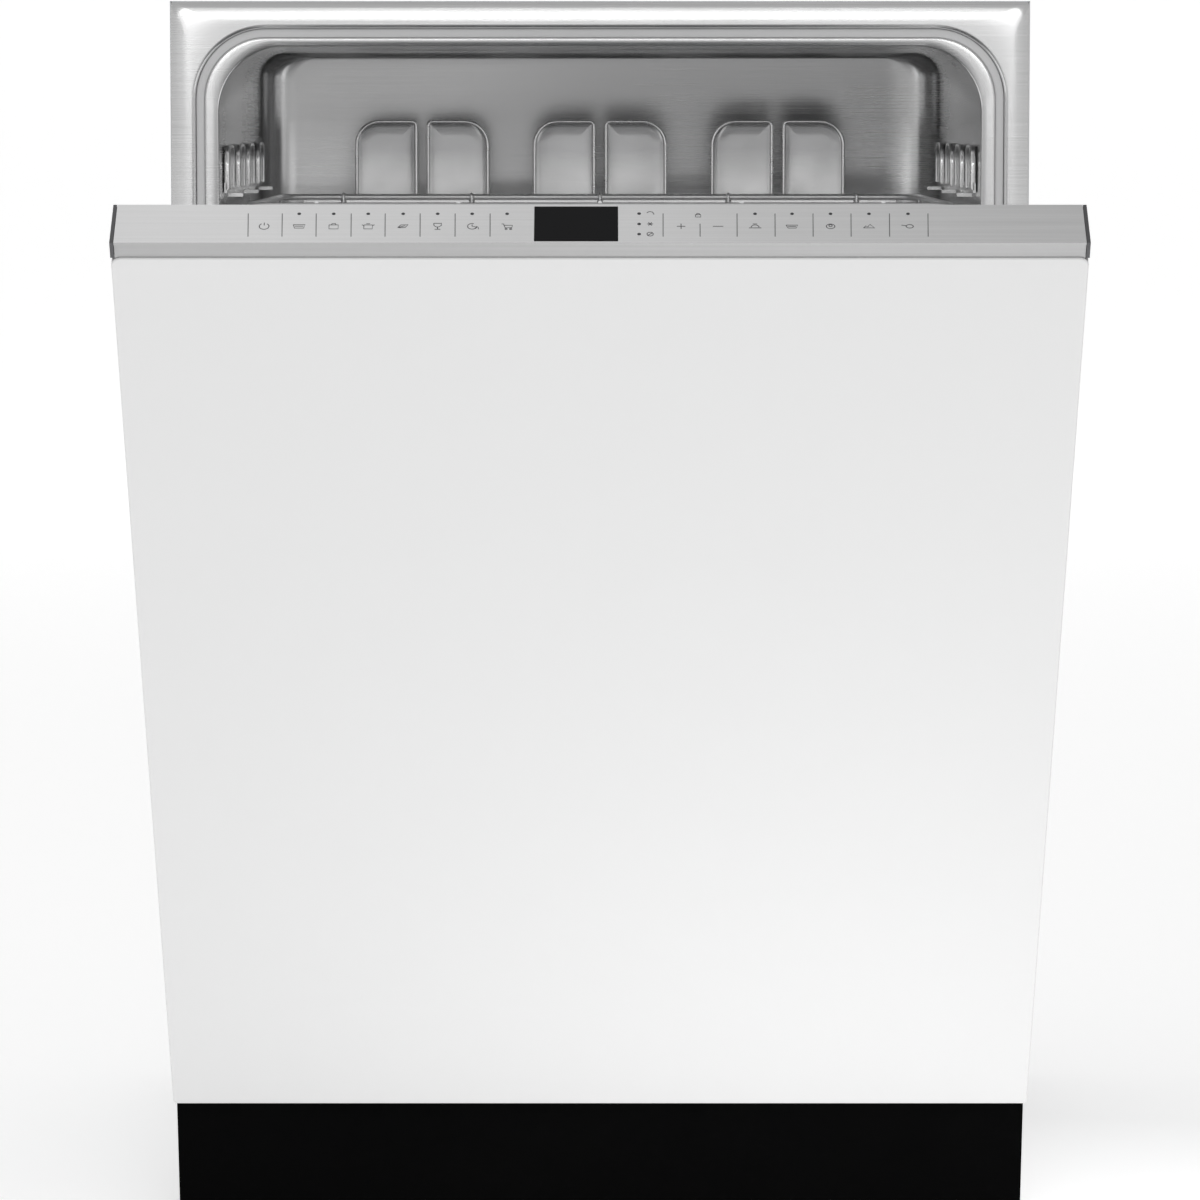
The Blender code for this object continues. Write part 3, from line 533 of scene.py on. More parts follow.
def add_screw(bm, place, normal):
    """A pan-head screw with a cross on its head, standing on a surface."""
    radius = 0.0036
    turn = Vector(normal).to_track_quat("Z", "Y").to_matrix().to_4x4()
    made = bmesh.new()
    add_turned(made, [(0, 0.0012), (radius * 0.35, 0.0013), (radius * 0.75, 0.0011), (radius, 0.0006),
                      (radius, -0.0004), (0, -0.0004)], (0, 0, 0), "Z", 20)
    for across in (0, 1):
        low = [-radius * 0.5, -radius * 0.1, 0.0011]
        high = [radius * 0.5, radius * 0.1, 0.00145]
        if across:
            low[0], low[1], high[0], high[1] = low[1], low[0], high[1], high[0]
        add_box(made, low, high)
    bmesh.ops.recalc_face_normals(made, faces=made.faces)
    mesh = bpy.data.meshes.new("screw")
    made.to_mesh(mesh)
    made.free()
    mesh.transform(Matrix.Translation(place) @ turn)
    bm.from_mesh(mesh)
    bpy.data.meshes.remove(mesh)


def screws(name, finish, body, slot, places, normal, place=MACHINE):
    """A row of equal screws as one piece."""
    bm = bmesh.new()
    for spot in places:
        add_screw(bm, spot, normal)
    piece(name, bm, finish, body, place=place)


def casing_skin(name, node, turn, margin, radius):
    """One outer sheet with a large pressed field; its length runs across when turned to face front."""
    low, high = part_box(node)
    half = max(high.x - low.x, high.y - low.y) / 2
    stations = [(0.0, half, low.z, high.z, 0.001, 0.001)]
    for y, inset, shrink in ((0.0, 0.0, 0.0), (0.0003, 0.0007, 0.0005), (0.0012, 0.0018, 0.002),
                             (0.0015, 0.0027, 0.003)):
        edge, corner = margin + inset, radius - shrink
        stations.append((y, half - edge, low.z + edge, high.z - edge, corner, corner))
    bm = bmesh.new()
    add_sheet(bm, stations, 8)
    skin = piece(name, bm, ZINC, "cabinet", (node,), MACHINE @ turn, 12, solid=False)
    thicken(skin, CASING_SHEET, -1)


def make_casing():
    """Galvanised side, top and back sheets with pressed fields and screws."""
    steel = ("cabinet", "galvanised_steel")
    middle = 0.0023 + 0.5224 / 2 - CASING_SHEET
    bottom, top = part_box("side_panel_left")[0].z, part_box("side_panel_left")[1].z
    for name, side in (("left", -1), ("right", 1)):
        turn = Matrix.Translation((side * HALF, middle, 0)) @ Matrix.Rotation(side * math.pi / 2, 4, "Z")
        casing_skin("side_skin_" + name, "side_panel_" + name, turn, 0.030, 0.025)
        spots = [(side * HALF, y, z) for y in (0.030, 0.270, 0.500) for z in (bottom + 0.012, top - 0.014)]
        screws("side_screws_" + name, ZINC, *steel, spots, (side, 0, 0))
    turn = Matrix.Translation((0, CASING_REAR, 0)) @ Matrix.Rotation(math.pi, 4, "Z")
    casing_skin("back_skin", "back_panel", turn, 0.040, 0.030)
    bottom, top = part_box("back_panel")[0].z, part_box("back_panel")[1].z
    spots = [(x, CASING_REAR, z) for x in (-0.280, 0.0, 0.280) for z in (bottom + 0.015, top - 0.015)]
    screws("back_screws", ZINC, *steel, spots, (0, 1, 0))
    dress("top_panel", ZINC, 0.0003)
    spots = [(x, y, HEIGHT - 0.0012) for x in (-0.270, 0.270) for y in (0.025, 0.500)]
    screws("top_screws", ZINC, *steel, spots, (0, 0, 1))


def dress(node, finish, edge=0.0, segments=2):
    """Keep a CAD node, with its real material and slightly rounded edges."""
    made = frame["nodes"][node]
    made.data.materials.clear()
    made.data.materials.append(finish)
    if edge:
        bevel(made, edge, segments)


def make_feet():
    """Screw feet with a pad, a hexagon and a threaded stud."""
    thread = []
    z = 0.018
    while z < 0.066:
        thread += [(0.0044, z), (0.0050, z + 0.0007)]
        z += 0.0015
    for side, name in ((-1, "left"), (1, "right")):
        for end, y in (("front", 0.085), ("rear", 0.480)):
            bm = bmesh.new()
            profile = [(0, 0.0), (0.0178, 0.0), (0.019, 0.0012), (0.019, 0.0062), (0.0182, 0.0072),
                       (0.0135, 0.0105), (0.0125, 0.011), (0.0052, 0.011), (0.0044, 0.0168)]
            add_turned(bm, profile + thread + [(0.0036, 0.068), (0, 0.068)], (side * 0.265, y, 0), "Z", 28)
            outline = [(side * 0.265 + 0.0095 * math.cos(math.radians(60 * k)),
                        y + 0.0095 * math.sin(math.radians(60 * k))) for k in range(6)]
            add_prism(bm, outline, "Z", 0.0102, 0.0158)
            node = "foot_%s_%s" % (end, name)
            piece("screw_" + node, bm, BLACK, node, (node,))


def make_cabinet():
    """The fixed cabinet with its feet, and the CAD nodes that are shown as they are."""
    make_tub()
    make_seal()
    make_casing()
    make_feet()
    make_springs()
    for side in ("left", "right"):
        dress("hinge_bracket_" + side, ZINC, 0.0005)
        dress("upper_rail_bracket_" + side, STEEL_RAIL, 0.0006)
        dress("upper_rail_" + side, STEEL_RAIL, 0.0004)
    for node, finish, edge in (
            ("kick_plate", KICK, 0.0002), ("base_tray", DARK, 0.001), ("sump", DARK, 0.001),
            ("wash_pump", DARK, 0.001), ("terminal_box", DARK, 0.001), ("water_softener", GREY, 0.0015),
            ("drain_pump", GREY, 0.0015), ("feed_pipe", GREY, 0.0015), ("inlet_valve", PALE, 0.001),
            ("filter_plate", STEEL_FILTER, 0.0004), ("filter_cup", GREY, 0.0006),
            ("salt_cap", DARK, 0.0008)):
        dress(node, finish, edge)


def make_springs():
    """Wound counterbalance springs from the hinge arms back along the base."""
    for name in ("left", "right"):
        low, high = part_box("door_spring_" + name)
        x, z = (low.x + high.x) / 2, (low.z + high.z) / 2
        front, rear = low.y - FLANGE_Y, high.y - FLANGE_Y
        coil, wire, turns, steps = 0.0047, 0.0012, 62, 10
        start, end = front + 0.012, rear - 0.012
        points = [(x, front + 0.0012, z), (x, front + 0.007, z)]
        for step in range(turns * steps + 1):
            angle = 2 * math.pi * step / steps
            y = start + (end - start) * step / (turns * steps)
            points.append((x + coil * math.cos(angle), y, z + coil * math.sin(angle)))
        points += [(x, rear - 0.007, z), (x, rear - 0.0012, z)]
        bm = bmesh.new()
        add_tube(bm, points, wire, 6)
        made = piece("coil_spring_" + name, bm, STEEL_SPRING, None, ("door_spring_" + name,),
                     sharp=60)
        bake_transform(made)


# Racks ------------------------------

def wires(name, paths, body, replaces=(), sides=8):
    """Coated round wires, each (points, radius, closed, corner radius), as one piece."""
    bm = bmesh.new()
    for points, radius, closed, corner in paths:
        path = arc_corners(points, corner, 6, closed) if corner else points
        add_tube(bm, path, radius, sides, closed)
    piece(name, bm, WIRE, body, replaces, sharp=60)


def level(half, front, rear, z):
    """Corners of a level loop."""
    return [(-half, front, z), (half, front, z), (half, rear, z), (-half, rear, z)]


POSTS = (-0.199, -0.0995, 0.0, 0.0995, 0.199)      # across the upper rack's rear rim


def hoop(x, front, rear, top, floor):
    """A wire down, along the floor from front to rear, and up."""
    return [(x, front, top), (x, front, floor), (x, rear, floor), (x, rear, top)]


def cradle(y, top_half, top, floor_half, floor):
    """A wire down, along the floor from left to right, and up."""
    return [(-top_half, y, top), (-floor_half, y, floor), (floor_half, y, floor), (top_half, y, top)]


def make_upper_rack():
    """Upper rack: rims, cross wires, tines, roller clips and the band behind its rear rim."""
    rim, floor, front, rear = 0.7045, 0.555, 0.028, 0.430
    rim_half, floor_half = 0.247, 0.232
    paths = [(level(rim_half, front, rear, rim), 0.0025, True, 0.022),
             (level(rim_half - 0.0006, front, rear, rim - 0.0062), 0.0019, True, 0.022),
             (level(rim_half - 0.0009, front + 0.0005, rear - 0.0005, rim - 0.0150), 0.0013, True, 0.022),
             (level(floor_half + 0.006, front, rear, floor + 0.055), 0.0016, True, 0.022),
             (level(floor_half, front, rear, floor + 0.001), 0.0022, True, 0.022)]
    inside = 0.0032
    for x in POSTS:
        paths.append(([(x, front - 0.001, rim + 0.0022), (x, front + inside, rim + 0.0022),
                       (x, front + inside, floor), (x, rear - inside, floor),
                       (x, rear - inside, rim + 0.0022), (x, rear + 0.001, rim + 0.0022)],
                      0.0015, False, 0.006))
    for index in range(18):
        x = -0.2170 + 0.4340 * index / 17
        if min(abs(x - known) for known in POSTS) > 0.008:
            wire = hoop(x, front + 0.001, rear - 0.001, floor + 0.055, floor + 0.0032)
            paths.append((wire, 0.0013, False, 0.008))
    for y in (0.075, 0.145, 0.215, 0.285, 0.355, 0.405):
        wire = cradle(y, rim_half - 0.0005, rim, floor_half - 0.002, floor - 0.0005)
        paths.append((wire, 0.0015, False, 0.010))
    for row in (-0.150, -0.050, 0.050, 0.150):
        for index in range(12):
            y = 0.060 + 0.030 * index
            tip = row + 0.004
            paths.append(([(row, y, floor), (tip, y, floor + 0.045), (tip, y, floor + 0.047)],
                          0.0014, False, 0.0))
    wires("upper_rack_wires", paths, "upper_rack", ("upper_rack",))
    bm = bmesh.new()
    for low, high in ((-0.2450, -0.2405), (0.2405, 0.2450)):
        for y in (0.110, 0.375):
            add_box(bm, (low, y - 0.018, 0.6235), (high, y + 0.018, 0.6420))
    bevel(piece("upper_rack_clips", bm, GREY, "upper_rack"), 0.0012)
    bm = bmesh.new()
    strips = [(x + 0.0020, x + 0.0975) for x in POSTS[:-1]] + [(-0.2300, -0.2010), (0.2010, 0.2300)]
    for low, high in strips:
        add_box(bm, (low, rear - 0.0006, rim - 0.0190), (high, rear + 0.0004, rim + 0.0004))
    bevel(piece("upper_rack_band", bm, BAND, "upper_rack"), 0.0003)


def lobe(start, end, low, high, start_radius, end_radius, steps=8):
    """Outline of an upright lobe with its two upper corners rounded."""
    points = [(start, low), (end, low)]
    corners = ((end - end_radius, end_radius, 0), (start + start_radius, start_radius, 90))
    for centre, radius, first in corners:
        for step in range(steps + 1):
            angle = math.radians(first + 90 * step / steps)
            points.append((centre + radius * math.cos(angle), high - radius + radius * math.sin(angle)))
    return points


def add_dished(bm, shape, levels, place):
    """A plate through inset outlines, closed at both ends: levels hold (inset, depth)."""
    start, end, low, high, start_radius, end_radius = shape
    rings = []
    for inset, depth in levels:
        outline = lobe(start + inset, end - inset, low + min(inset, 0.0005), high - inset,
                       max(start_radius - inset, 0.0004), max(end_radius - inset, 0.0004))
        rings.append([bm.verts.new(place(u, v, depth)) for u, v in outline])
    join_loops(bm, rings)
    bm.faces.new(rings[0])
    bm.faces.new(rings[-1])


PADDLE = ((0.012, 0.0002), (0.006, 0.0003), (0.0030, 0.0010), (0.0012, 0.0018), (0.0003, 0.0016),
          (0.0, 0.0008), (0.0, -0.0004), (0.0004, -0.0010), (0.0016, -0.0012), (0.012, -0.0012))


def add_bead(bm, shape, place):
    """A rounded bead along a lobe's sides and top."""
    path = lobe(*shape, 10)[1:] + [(shape[0], shape[2])]
    add_tube(bm, [place(u, v) for u, v in path], 0.0014, 10)


def make_glass_holders():
    """Two dished lobes with raised rims on one foot, standing behind the rear rim."""
    y, top, low = 0.4365, 0.764, 0.690
    for name, x in (("left", -0.138), ("middle", 0.0), ("right", 0.138)):
        node = "glass_holder_" + name
        bm, rims = bmesh.new(), bmesh.new()
        for side in (-1, 1):
            start, end = sorted((x + side * 0.0035, x + side * 0.052))
            radii = (0.0035, 0.018) if side > 0 else (0.018, 0.0035)
            add_dished(bm, (start, end, low + 0.012, top, *radii), PADDLE,
                       lambda u, v, depth: (u, y - depth, v))
            add_bead(rims, (start + 0.0012, end - 0.0012, low + 0.0125, top - 0.0012, *radii),
                     lambda u, v: (u, y - 0.0014, v))
        add_box(bm, (x - 0.052, y - 0.0010, low), (x + 0.052, y + 0.0010, low + 0.0135))
        piece("holder_lobes_" + name, bm, SMOKE, node, (node,), sharp=40)
        piece("holder_rims_" + name, rims, RIM_PAINTED_HIGHLIGHT, node, sharp=60)


def make_cup_shelves():
    """Four dished lobes on one bar beside each side wall."""
    pivot_x, pivot_z = JOINTS["cup_shelf_right_fold"]["pos_m"][0], 0.7125
    for name, side in (("left", -1), ("right", 1)):
        node = "cup_shelf_" + name
        plane = side * (pivot_x + 0.003)
        bm, rims = bmesh.new(), bmesh.new()
        for start in (0.038, 0.154, 0.265, 0.383):
            add_dished(bm, (start, start + 0.058, pivot_z + 0.003, 0.7470, 0.014, 0.014), PADDLE,
                       lambda u, v, depth: (plane - side * (depth + 0.0004), u, v))
            add_bead(rims, (start + 0.0012, start + 0.0568, pivot_z + 0.004, 0.7458, 0.0135, 0.0135),
                     lambda u, v: (plane - side * 0.0016, u, v))
        xs = sorted((plane - 0.001, plane + 0.001))
        add_box(bm, (xs[0], 0.038, pivot_z + 0.001), (xs[1], 0.441, pivot_z + 0.008))
        for start in (0.060, 0.230, 0.405):
            xs = sorted((side * 0.2530, plane))
            add_box(bm, (xs[0], start + 0.003, pivot_z - 0.002), (xs[1], start + 0.010, pivot_z + 0.0005))
        piece("shelf_lobes_" + name, bm, SMOKE, node, (node,), sharp=40)
        piece("shelf_rims_" + name, rims, RIM_PAINTED_HIGHLIGHT, node, sharp=60)


def make_lower_rack():
    """Lower rack with its axles and wheels, and the two folding tine rows."""
    rim, floor, front, rear = 0.330, 0.205, 0.030, 0.455
    rim_half, floor_half = 0.243, 0.240
    paths = [(level(rim_half, front, rear, rim), 0.0025, True, 0.025),
             (level(rim_half - 0.0005, front, rear, rim - 0.030), 0.0018, True, 0.025),
             (level(rim_half - 0.0015, front, rear, rim - 0.070), 0.0018, True, 0.025),
             (level(floor_half, front, rear, floor + 0.001), 0.0023, True, 0.025)]
    inside = 0.0025
    for index in range(15):
        x = -0.217 + 0.031 * index
        paths.append((hoop(x, front + inside, rear - inside, rim, floor), 0.0015, False, 0.008))
    for y in (0.065, 0.125, 0.185, 0.245, 0.305, 0.365, 0.425):
        wire = cradle(y, rim_half - inside, rim, floor_half - inside, floor - 0.001)
        paths.append((wire, 0.0015, False, 0.008))
    axles, axle_z = (("front", 0.090), ("rear", 0.400)), 0.1725
    for side in (-1, 1):
        for _, y in axles:
            paths.append(([(side * 0.2285, y, axle_z), (side * 0.2435, y, axle_z)], 0.003, False, 0.0))
            fork = side * 0.2295
            paths.append(([(fork, y - 0.012, floor), (fork, y - 0.003, axle_z),
                           (fork, y + 0.003, axle_z), (fork, y + 0.012, floor)], 0.0022, False, 0.004))
    wires("lower_rack_wires", paths, "lower_rack", ("lower_rack",))

    for side, name in ((-1, "left"), (1, "right")):
        for end, y in axles:
            node = "lower_wheel_%s_%s" % (end, name)
            centre = (side * 0.239, y, axle_z)
            bm = bmesh.new()
            add_turned(bm, [(0.0185, -0.0042), (0.0208, -0.0048), (0.0218, -0.0034), (0.0220, 0.0),
                            (0.0218, 0.0034), (0.0208, 0.0048), (0.0185, 0.0042)], centre, "X", 40)
            add_turned(bm, [(0.0036, -0.0048), (0.0066, -0.0048), (0.0070, -0.0040), (0.0070, 0.0040),
                            (0.0066, 0.0048), (0.0036, 0.0048)], centre, "X", 32)
            add_turned(bm, [(0.0062, -0.0011), (0.0192, -0.0011), (0.0192, 0.0011), (0.0062, 0.0011)],
                       centre, "X", 40)
            for spoke in range(6):
                angle = 2 * math.pi * spoke / 6
                made = add_box(bm, (-0.0032, 0.0060, -0.0011), (0.0032, 0.0190, 0.0011))
                bmesh.ops.rotate(bm, verts=made, matrix=Matrix.Rotation(angle, 3, "X"), cent=(0, 0, 0))
                bmesh.ops.translate(bm, verts=made, vec=centre)
            piece("wheel_%s_%s" % (end, name), bm, GREY, node, (node,))

    for name, x in (("left", -0.10), ("right", 0.04)):
        z, first, last, tines = 0.2125, 0.055, 0.425, 10
        paths = [([(x, first, z), (x, last, z)], 0.0020, False, 0.0)]
        for index in range(tines):
            y = first + 0.008 + (last - first - 0.016) * index / (tines - 1)
            paths.append(([(x, y, z), (x, y, z + 0.0700), (x, y, z + 0.0745)], 0.0015, False, 0.0))
        node = "tine_row_" + name
        wires("tines_" + name, paths, node, (node,), 10)


def make_basket():
    """Cutlery basket: moulded lattice walls, solid rim and dividers, and an arched handle."""
    low, high = Vector((0.130, 0.050, 0.2105)), Vector((0.225, 0.300, 0.330))
    cells = (9, 24, 11)
    bm = bmesh.new()
    corner = {}

    def point(i, j, k):
        if (i, j, k) not in corner:
            share = Vector((i / cells[0], j / cells[1], k / cells[2]))
            inner_low, inner_high = low + Vector((0.001,) * 3), high - Vector((0.001, 0.001, 0.006))
            place = [inner_low[a] + (inner_high[a] - inner_low[a]) * share[a] for a in range(3)]
            corner[(i, j, k)] = bm.verts.new(place)
        return corner[(i, j, k)]

    for i in range(cells[0]):
        for j in range(cells[1]):
            bm.faces.new((point(i, j, 0), point(i, j + 1, 0), point(i + 1, j + 1, 0), point(i + 1, j, 0)))
        for k in range(cells[2]):
            for j in (0, cells[1]):
                bm.faces.new((point(i, j, k), point(i + 1, j, k), point(i + 1, j, k + 1), point(i, j, k + 1)))
    for j in range(cells[1]):
        for k in range(cells[2]):
            for i in (0, cells[0]):
                bm.faces.new((point(i, j, k), point(i, j + 1, k), point(i, j + 1, k + 1), point(i, j, k + 1)))
    lattice = piece("basket_lattice", bm, GREY, "cutlery_basket", ("cutlery_basket",))
    step = lattice.modifiers.new("lattice", "WIREFRAME")
    step.thickness = 0.0020
    step.use_even_offset = False
    step.use_boundary = True

    bm = bmesh.new()
    for x in (low.x, high.x - 0.0022):
        add_box(bm, (x, low.y, high.z - 0.008), (x + 0.0022, high.y, high.z))
    for y in (low.y, high.y - 0.0022):
        add_box(bm, (low.x + 0.002, y, high.z - 0.0078), (high.x - 0.002, y + 0.0022, high.z - 0.0002))
    pitch = (high.y - low.y - 0.002) / 3
    for bay in (1, 2):
        y = low.y + bay * pitch
        add_box(bm, (low.x + 0.001, y, low.z + 0.001), (high.x - 0.001, y + 0.0018, high.z - 0.001))
    bevel(piece("basket_rim", bm, GREY, "cutlery_basket"), 0.0006)
    middle = (low.x + high.x) / 2
    first, last = low.y + pitch + 0.001, low.y + 2 * pitch + 0.001
    bm = bmesh.new()
    path = arc_corners([(middle, first, 0.322), (middle, first, 0.383), (middle, last, 0.383),
                        (middle, last, 0.322)], 0.014, 8)
    add_tube(bm, path, 0.0040, 14)
    piece("basket_handle", bm, GREY, "cutlery_basket", sharp=60)


def make_spray_arm(name, y, low, high, reach, hub):
    """Spray arm with rounded blades, a hub and raised nozzles."""
    x = 0.0
    node = name + "_spray_arm"
    outline = []
    for side, half in ((1, 0.0125), (-1, 0.0125)):
        for step in range(9):
            angle = math.radians(-90 * side + 180 * step / 8)
            outline.append((x + side * (reach - 0.0065) + half * math.cos(angle), y + half * math.sin(angle)))
        outline.append((x, y + side * 0.0205))
    bm = bmesh.new()
    add_prism(bm, outline, "Z", low, high)
    bevel(piece(name + "_arm_blade", bm, GREY, node, (node,), sharp=50), 0.0026, 4, 50)
    bm = bmesh.new()
    hub_low, hub_high, radius = hub
    add_turned(bm, [(0, hub_low), (radius - 0.002, hub_low), (radius, hub_low + 0.002),
                    (radius, hub_high - 0.001), (radius - 0.0015, hub_high), (radius * 0.5, hub_high),
                    (radius * 0.45, hub_high - 0.0012), (0, hub_high - 0.0012)], (x, y, 0), "Z", 36)
    for side in (-1, 1):
        for index in range(6):
            place = (x + side * (0.040 + 0.026 * index), y + 0.004 * (-1) ** index, 0)
            add_turned(bm, [(0.0012, high - 0.001), (0.0012, high + 0.0008), (0.0022, high + 0.0008),
                            (0.0028, high - 0.001)], place, "Z", 14)
    piece(name + "_arm_nozzles", bm, GREY, node, sharp=50)


def make_racks():
    """Both racks with everything that stands in them, and the spray arms."""
    make_upper_rack()
    make_glass_holders()
    make_cup_shelves()
    make_lower_rack()
    make_basket()
    make_spray_arm("lower", 0.25, 0.178, 0.188, 0.2075, (0.1535, 0.191, 0.016))
    make_spray_arm("upper", 0.235, 0.521, 0.530, 0.1975, (0.518, 0.5325, 0.018))
    dress("upper_feed_tube", GREY, 0.001)


# Door, drawn closed from the hinge axis ------------------------------

def make_outer_panel():
    """White door front: a shallow pan with rolled edges and small top corners, and its returns."""
    top = DOOR_TOP - STRIP - 0.0002
    roll, half = 0.0013, HALF - 0.0001
    stations = []
    for step in range(7):
        angle = math.radians(15 * step)
        inset = roll * (1 - math.cos(angle))
        stations.append((DOOR_FRONT + roll * (1 - math.sin(angle)), half - inset, DOOR_BOTTOM + inset,
                         top - inset, 0.0030 - inset, 0.0058 - inset))
    bm = bmesh.new()
    add_sheet(bm, stations, steps=12)
    front = piece("door_front", bm, ENAMEL, "door", ("door_outer_panel",), DOOR, 60,
                  solid=False)
    thicken(front, SHEET, -1)
    wall, fold = 0.0010, 0.0170
    outer = [(half - 0.002, DOOR_BOTTOM), (half, DOOR_BOTTOM + 0.002), (half, top - 0.006)]
    inner = [(half - wall, top - 0.006), (half - wall, DOOR_BOTTOM + 0.0024),
             (half - 0.0024, DOOR_BOTTOM + wall)]
    outline = [(-x, z) for x, z in reversed(outer)] + outer + inner + [(-x, z) for x, z in reversed(inner)]
    bm = bmesh.new()
    add_prism(bm, outline, "Y", DOOR_FRONT + roll, fold)
    piece("door_returns", bm, ENAMEL, "door", place=DOOR, sharp=50)


def ring_edges(bm, corners):
    """Edges that close a loop of vertices."""
    count = len(corners)
    return [bm.edges.new((corners[k], corners[(k + 1) % count])) for k in range(count)]


def make_liner():
    """Pressed steel inner liner with a raised field, hinge notches and the latch slot."""
    back = DOOR_BACK
    half, low, high = 0.2965, -0.006, 0.7340
    notch_x, notch_z = 0.2740, 0.055
    outer = [(-notch_x, low), (notch_x, low), (notch_x, notch_z), (half, notch_z), (half, high),
             (-half, high), (-half, notch_z), (-notch_x, notch_z)]
    slot = [(-0.014, 0.7035), (0.014, 0.7035), (0.014, 0.7180), (-0.014, 0.7180)]
    bm = bmesh.new()
    edges = []
    for outline in (outer, slot):
        edges += ring_edges(bm, add_loop(bm, outline, back))
    stations = [(0.0, 0.0), (0.0004, 0.0018), (0.0016, 0.0034), (0.0034, 0.0044), (0.0100, 0.0062),
                (0.0122, 0.0072), (0.0136, 0.0090), (0.0140, 0.0112), (0.0140, 0.0300), (0.0134, 0.0312),
                (0.0126, 0.0330), (0.0124, 0.0360)]
    loops = []
    for depth, inset in stations:
        outline = rounded_rect(0.2640 - inset, 0.0590 + inset, 0.6995 - inset,
                               max(0.022 - inset, 0.006), max(0.040 - inset, 0.012), 12)
        loops.append(add_loop(bm, outline, back + depth))
    edges += ring_edges(bm, loops[0])
    filled = bmesh.ops.triangle_fill(bm, edges=edges, use_beauty=True)["geom"]
    for face in [item for item in filled if isinstance(item, bmesh.types.BMFace)]:
        face.normal_update()
        if face.normal.y > 0:
            face.normal_flip()
    join_loops(bm, loops)
    bm.faces.new(loops[-1])
    liner = piece("liner_sheet", bm, STEEL_LINER, "door", ("door_inner_liner",), DOOR, 50,
                  solid=False)
    thicken(liner, SHEET, 1)
    spots = [(side * 0.2815, back, z) for side in (-1, 1) for z in (0.085, 0.250, 0.420, 0.590, 0.722)]
    screws("liner_screws", STEEL_RAIL, "door", "liner_steel", spots, (0, 1, 0), DOOR)


def panel_point(across, down):
    """Place on the control panel's top of a point of the front view, in 1/1200 of its width."""
    share = (down - 204.7) / 37.3
    return Vector(((across - 599.9) / (1628.6 + 12.4 * share), DOOR_BACK - 0.0386 * share, DOOR_TOP))


def ring(radius, first=0, last=360, centre=(0, 0), squeeze=1.0):
    """Points of an arc in millimetres."""
    steps = 20
    points = []
    for step in range(steps + 1):
        angle = math.radians(first + (last - first) * step / steps)
        points.append((centre[0] + radius * math.cos(angle), centre[1] + radius * squeeze * math.sin(angle)))
    return points


ICONS = {
    (264, 226): [ring(3.0, 125, 415), [(0, 1.0), (0, 3.6)]],
    (299, 226): [[(-3.6, 1.6), (3.6, 1.6), (2.8, -1.8), (-2.8, -1.8), (-3.6, 1.6)],
                 [(-2.6, 0.1), (2.6, 0.1)]],
    (333.5, 226): [[(-2.8, 1.4), (2.8, 1.4), (2.8, -2.6), (-2.8, -2.6), (-2.8, 1.4)],
                   [(-1.4, 1.4), (-1.0, 2.8), (1.0, 2.8), (1.4, 1.4)]],
    (368, 226): [[(-2.6, 1.4), (2.6, 1.4), (2.6, -2.6), (-2.6, -2.6), (-2.6, 1.4)],
                 [(-2.6, 0.6), (-3.8, 1.6)], [(2.6, 0.6), (3.8, 1.6)], [(-1.2, 2.6), (1.2, 2.6)]],
    (403, 226): [[(-3.2, -1.2), (-1.4, 1.4), (3.0, 1.6), (1.2, -1.2), (-1.6, -1.4), (-3.2, -1.2)],
                 [(-3.2, -1.2), (1.2, 0.6)]],
    (437.5, 226): [[(-2.4, 3.0), (-2.2, 0.8), (-0.8, -0.6), (0.8, -0.6), (2.2, 0.8), (2.4, 3.0),
                    (-2.4, 3.0)], [(0, -0.6), (0, -3.0)], [(-1.8, -3.0), (1.8, -3.0)]],
    (472, 226): [ring(2.8, 70, 360), [(0, 1.6), (0, 0), (2.2, -0.6)],
                 [(1.6, -2.6), (3.6, -0.4), (4.0, -2.8)]],
    (507, 226): [[(-3.4, 2.4), (-2.2, 2.4), (-1.2, -1.4), (2.8, -1.4), (3.4, 1.0), (-1.8, 1.0)],
                 ring(0.6, centre=(-0.6, -2.7)), ring(0.6, centre=(2.2, -2.7))],
    (650, 213.5): [ring(2.0, 20, 160), [(1.9, 0.8), (2.4, -0.8)]],
    (650, 223.7): [[(-1.8, 0), (1.8, 0)], [(-1.0, -1.5), (1.0, 1.5)], [(-1.0, 1.5), (1.0, -1.5)]],
    (650, 233.6): [ring(1.9), [(-1.6, -1.5), (1.6, 1.5)]],
    (681, 226): [[(-2.6, 0), (2.6, 0)], [(0, -2.6), (0, 2.6)]],
    (698, 215): [[(-1.6, 0.4), (1.6, 0.4), (1.6, -1.9), (-1.6, -1.9), (-1.6, 0.4)],
                 ring(1.1, 0, 180, centre=(0, 0.6))],
    (718, 226): [[(-3.2, 0), (3.2, 0)]],
    (755, 226): [ring(2.4, 0, 180, centre=(0, -1.0)), [(-3.8, -1.6), (3.8, -1.6)],
                 [(-1.4, 2.4), (1.4, 2.4)]],
    (792, 226): [[(-3.6, 1.2), (-2.4, -1.8), (2.4, -1.8), (3.6, 1.2), (-3.6, 1.2)],
                 [(-2.4, -0.2), (2.4, -0.2)]],
    (830.5, 226): [ring(2.6, squeeze=0.9), ring(1.0, centre=(0, 0.7))],
    (869, 226): [[(-3.4, -1.6), (-2.0, 0.4), (-0.8, -0.6), (0.6, 2.0), (3.4, -1.6), (-3.4, -1.6)]],
    (908, 226): [ring(2.2, centre=(1.0, 0), squeeze=0.8), [(-4.0, 1.2), (-1.0, 0.6)]],
}
LAMPS = [(x, 213.7) for x in (299, 333.5, 368, 403, 437.5, 472, 507, 755, 792, 830.5, 869, 908)]
LAMPS += [(639, y) for y in (213.5, 223.7, 233.6)]
DIVIDERS = [248, 282, 316, 351, 385, 420, 455, 490, 663, 737, 775, 813, 851, 889.5, 928]


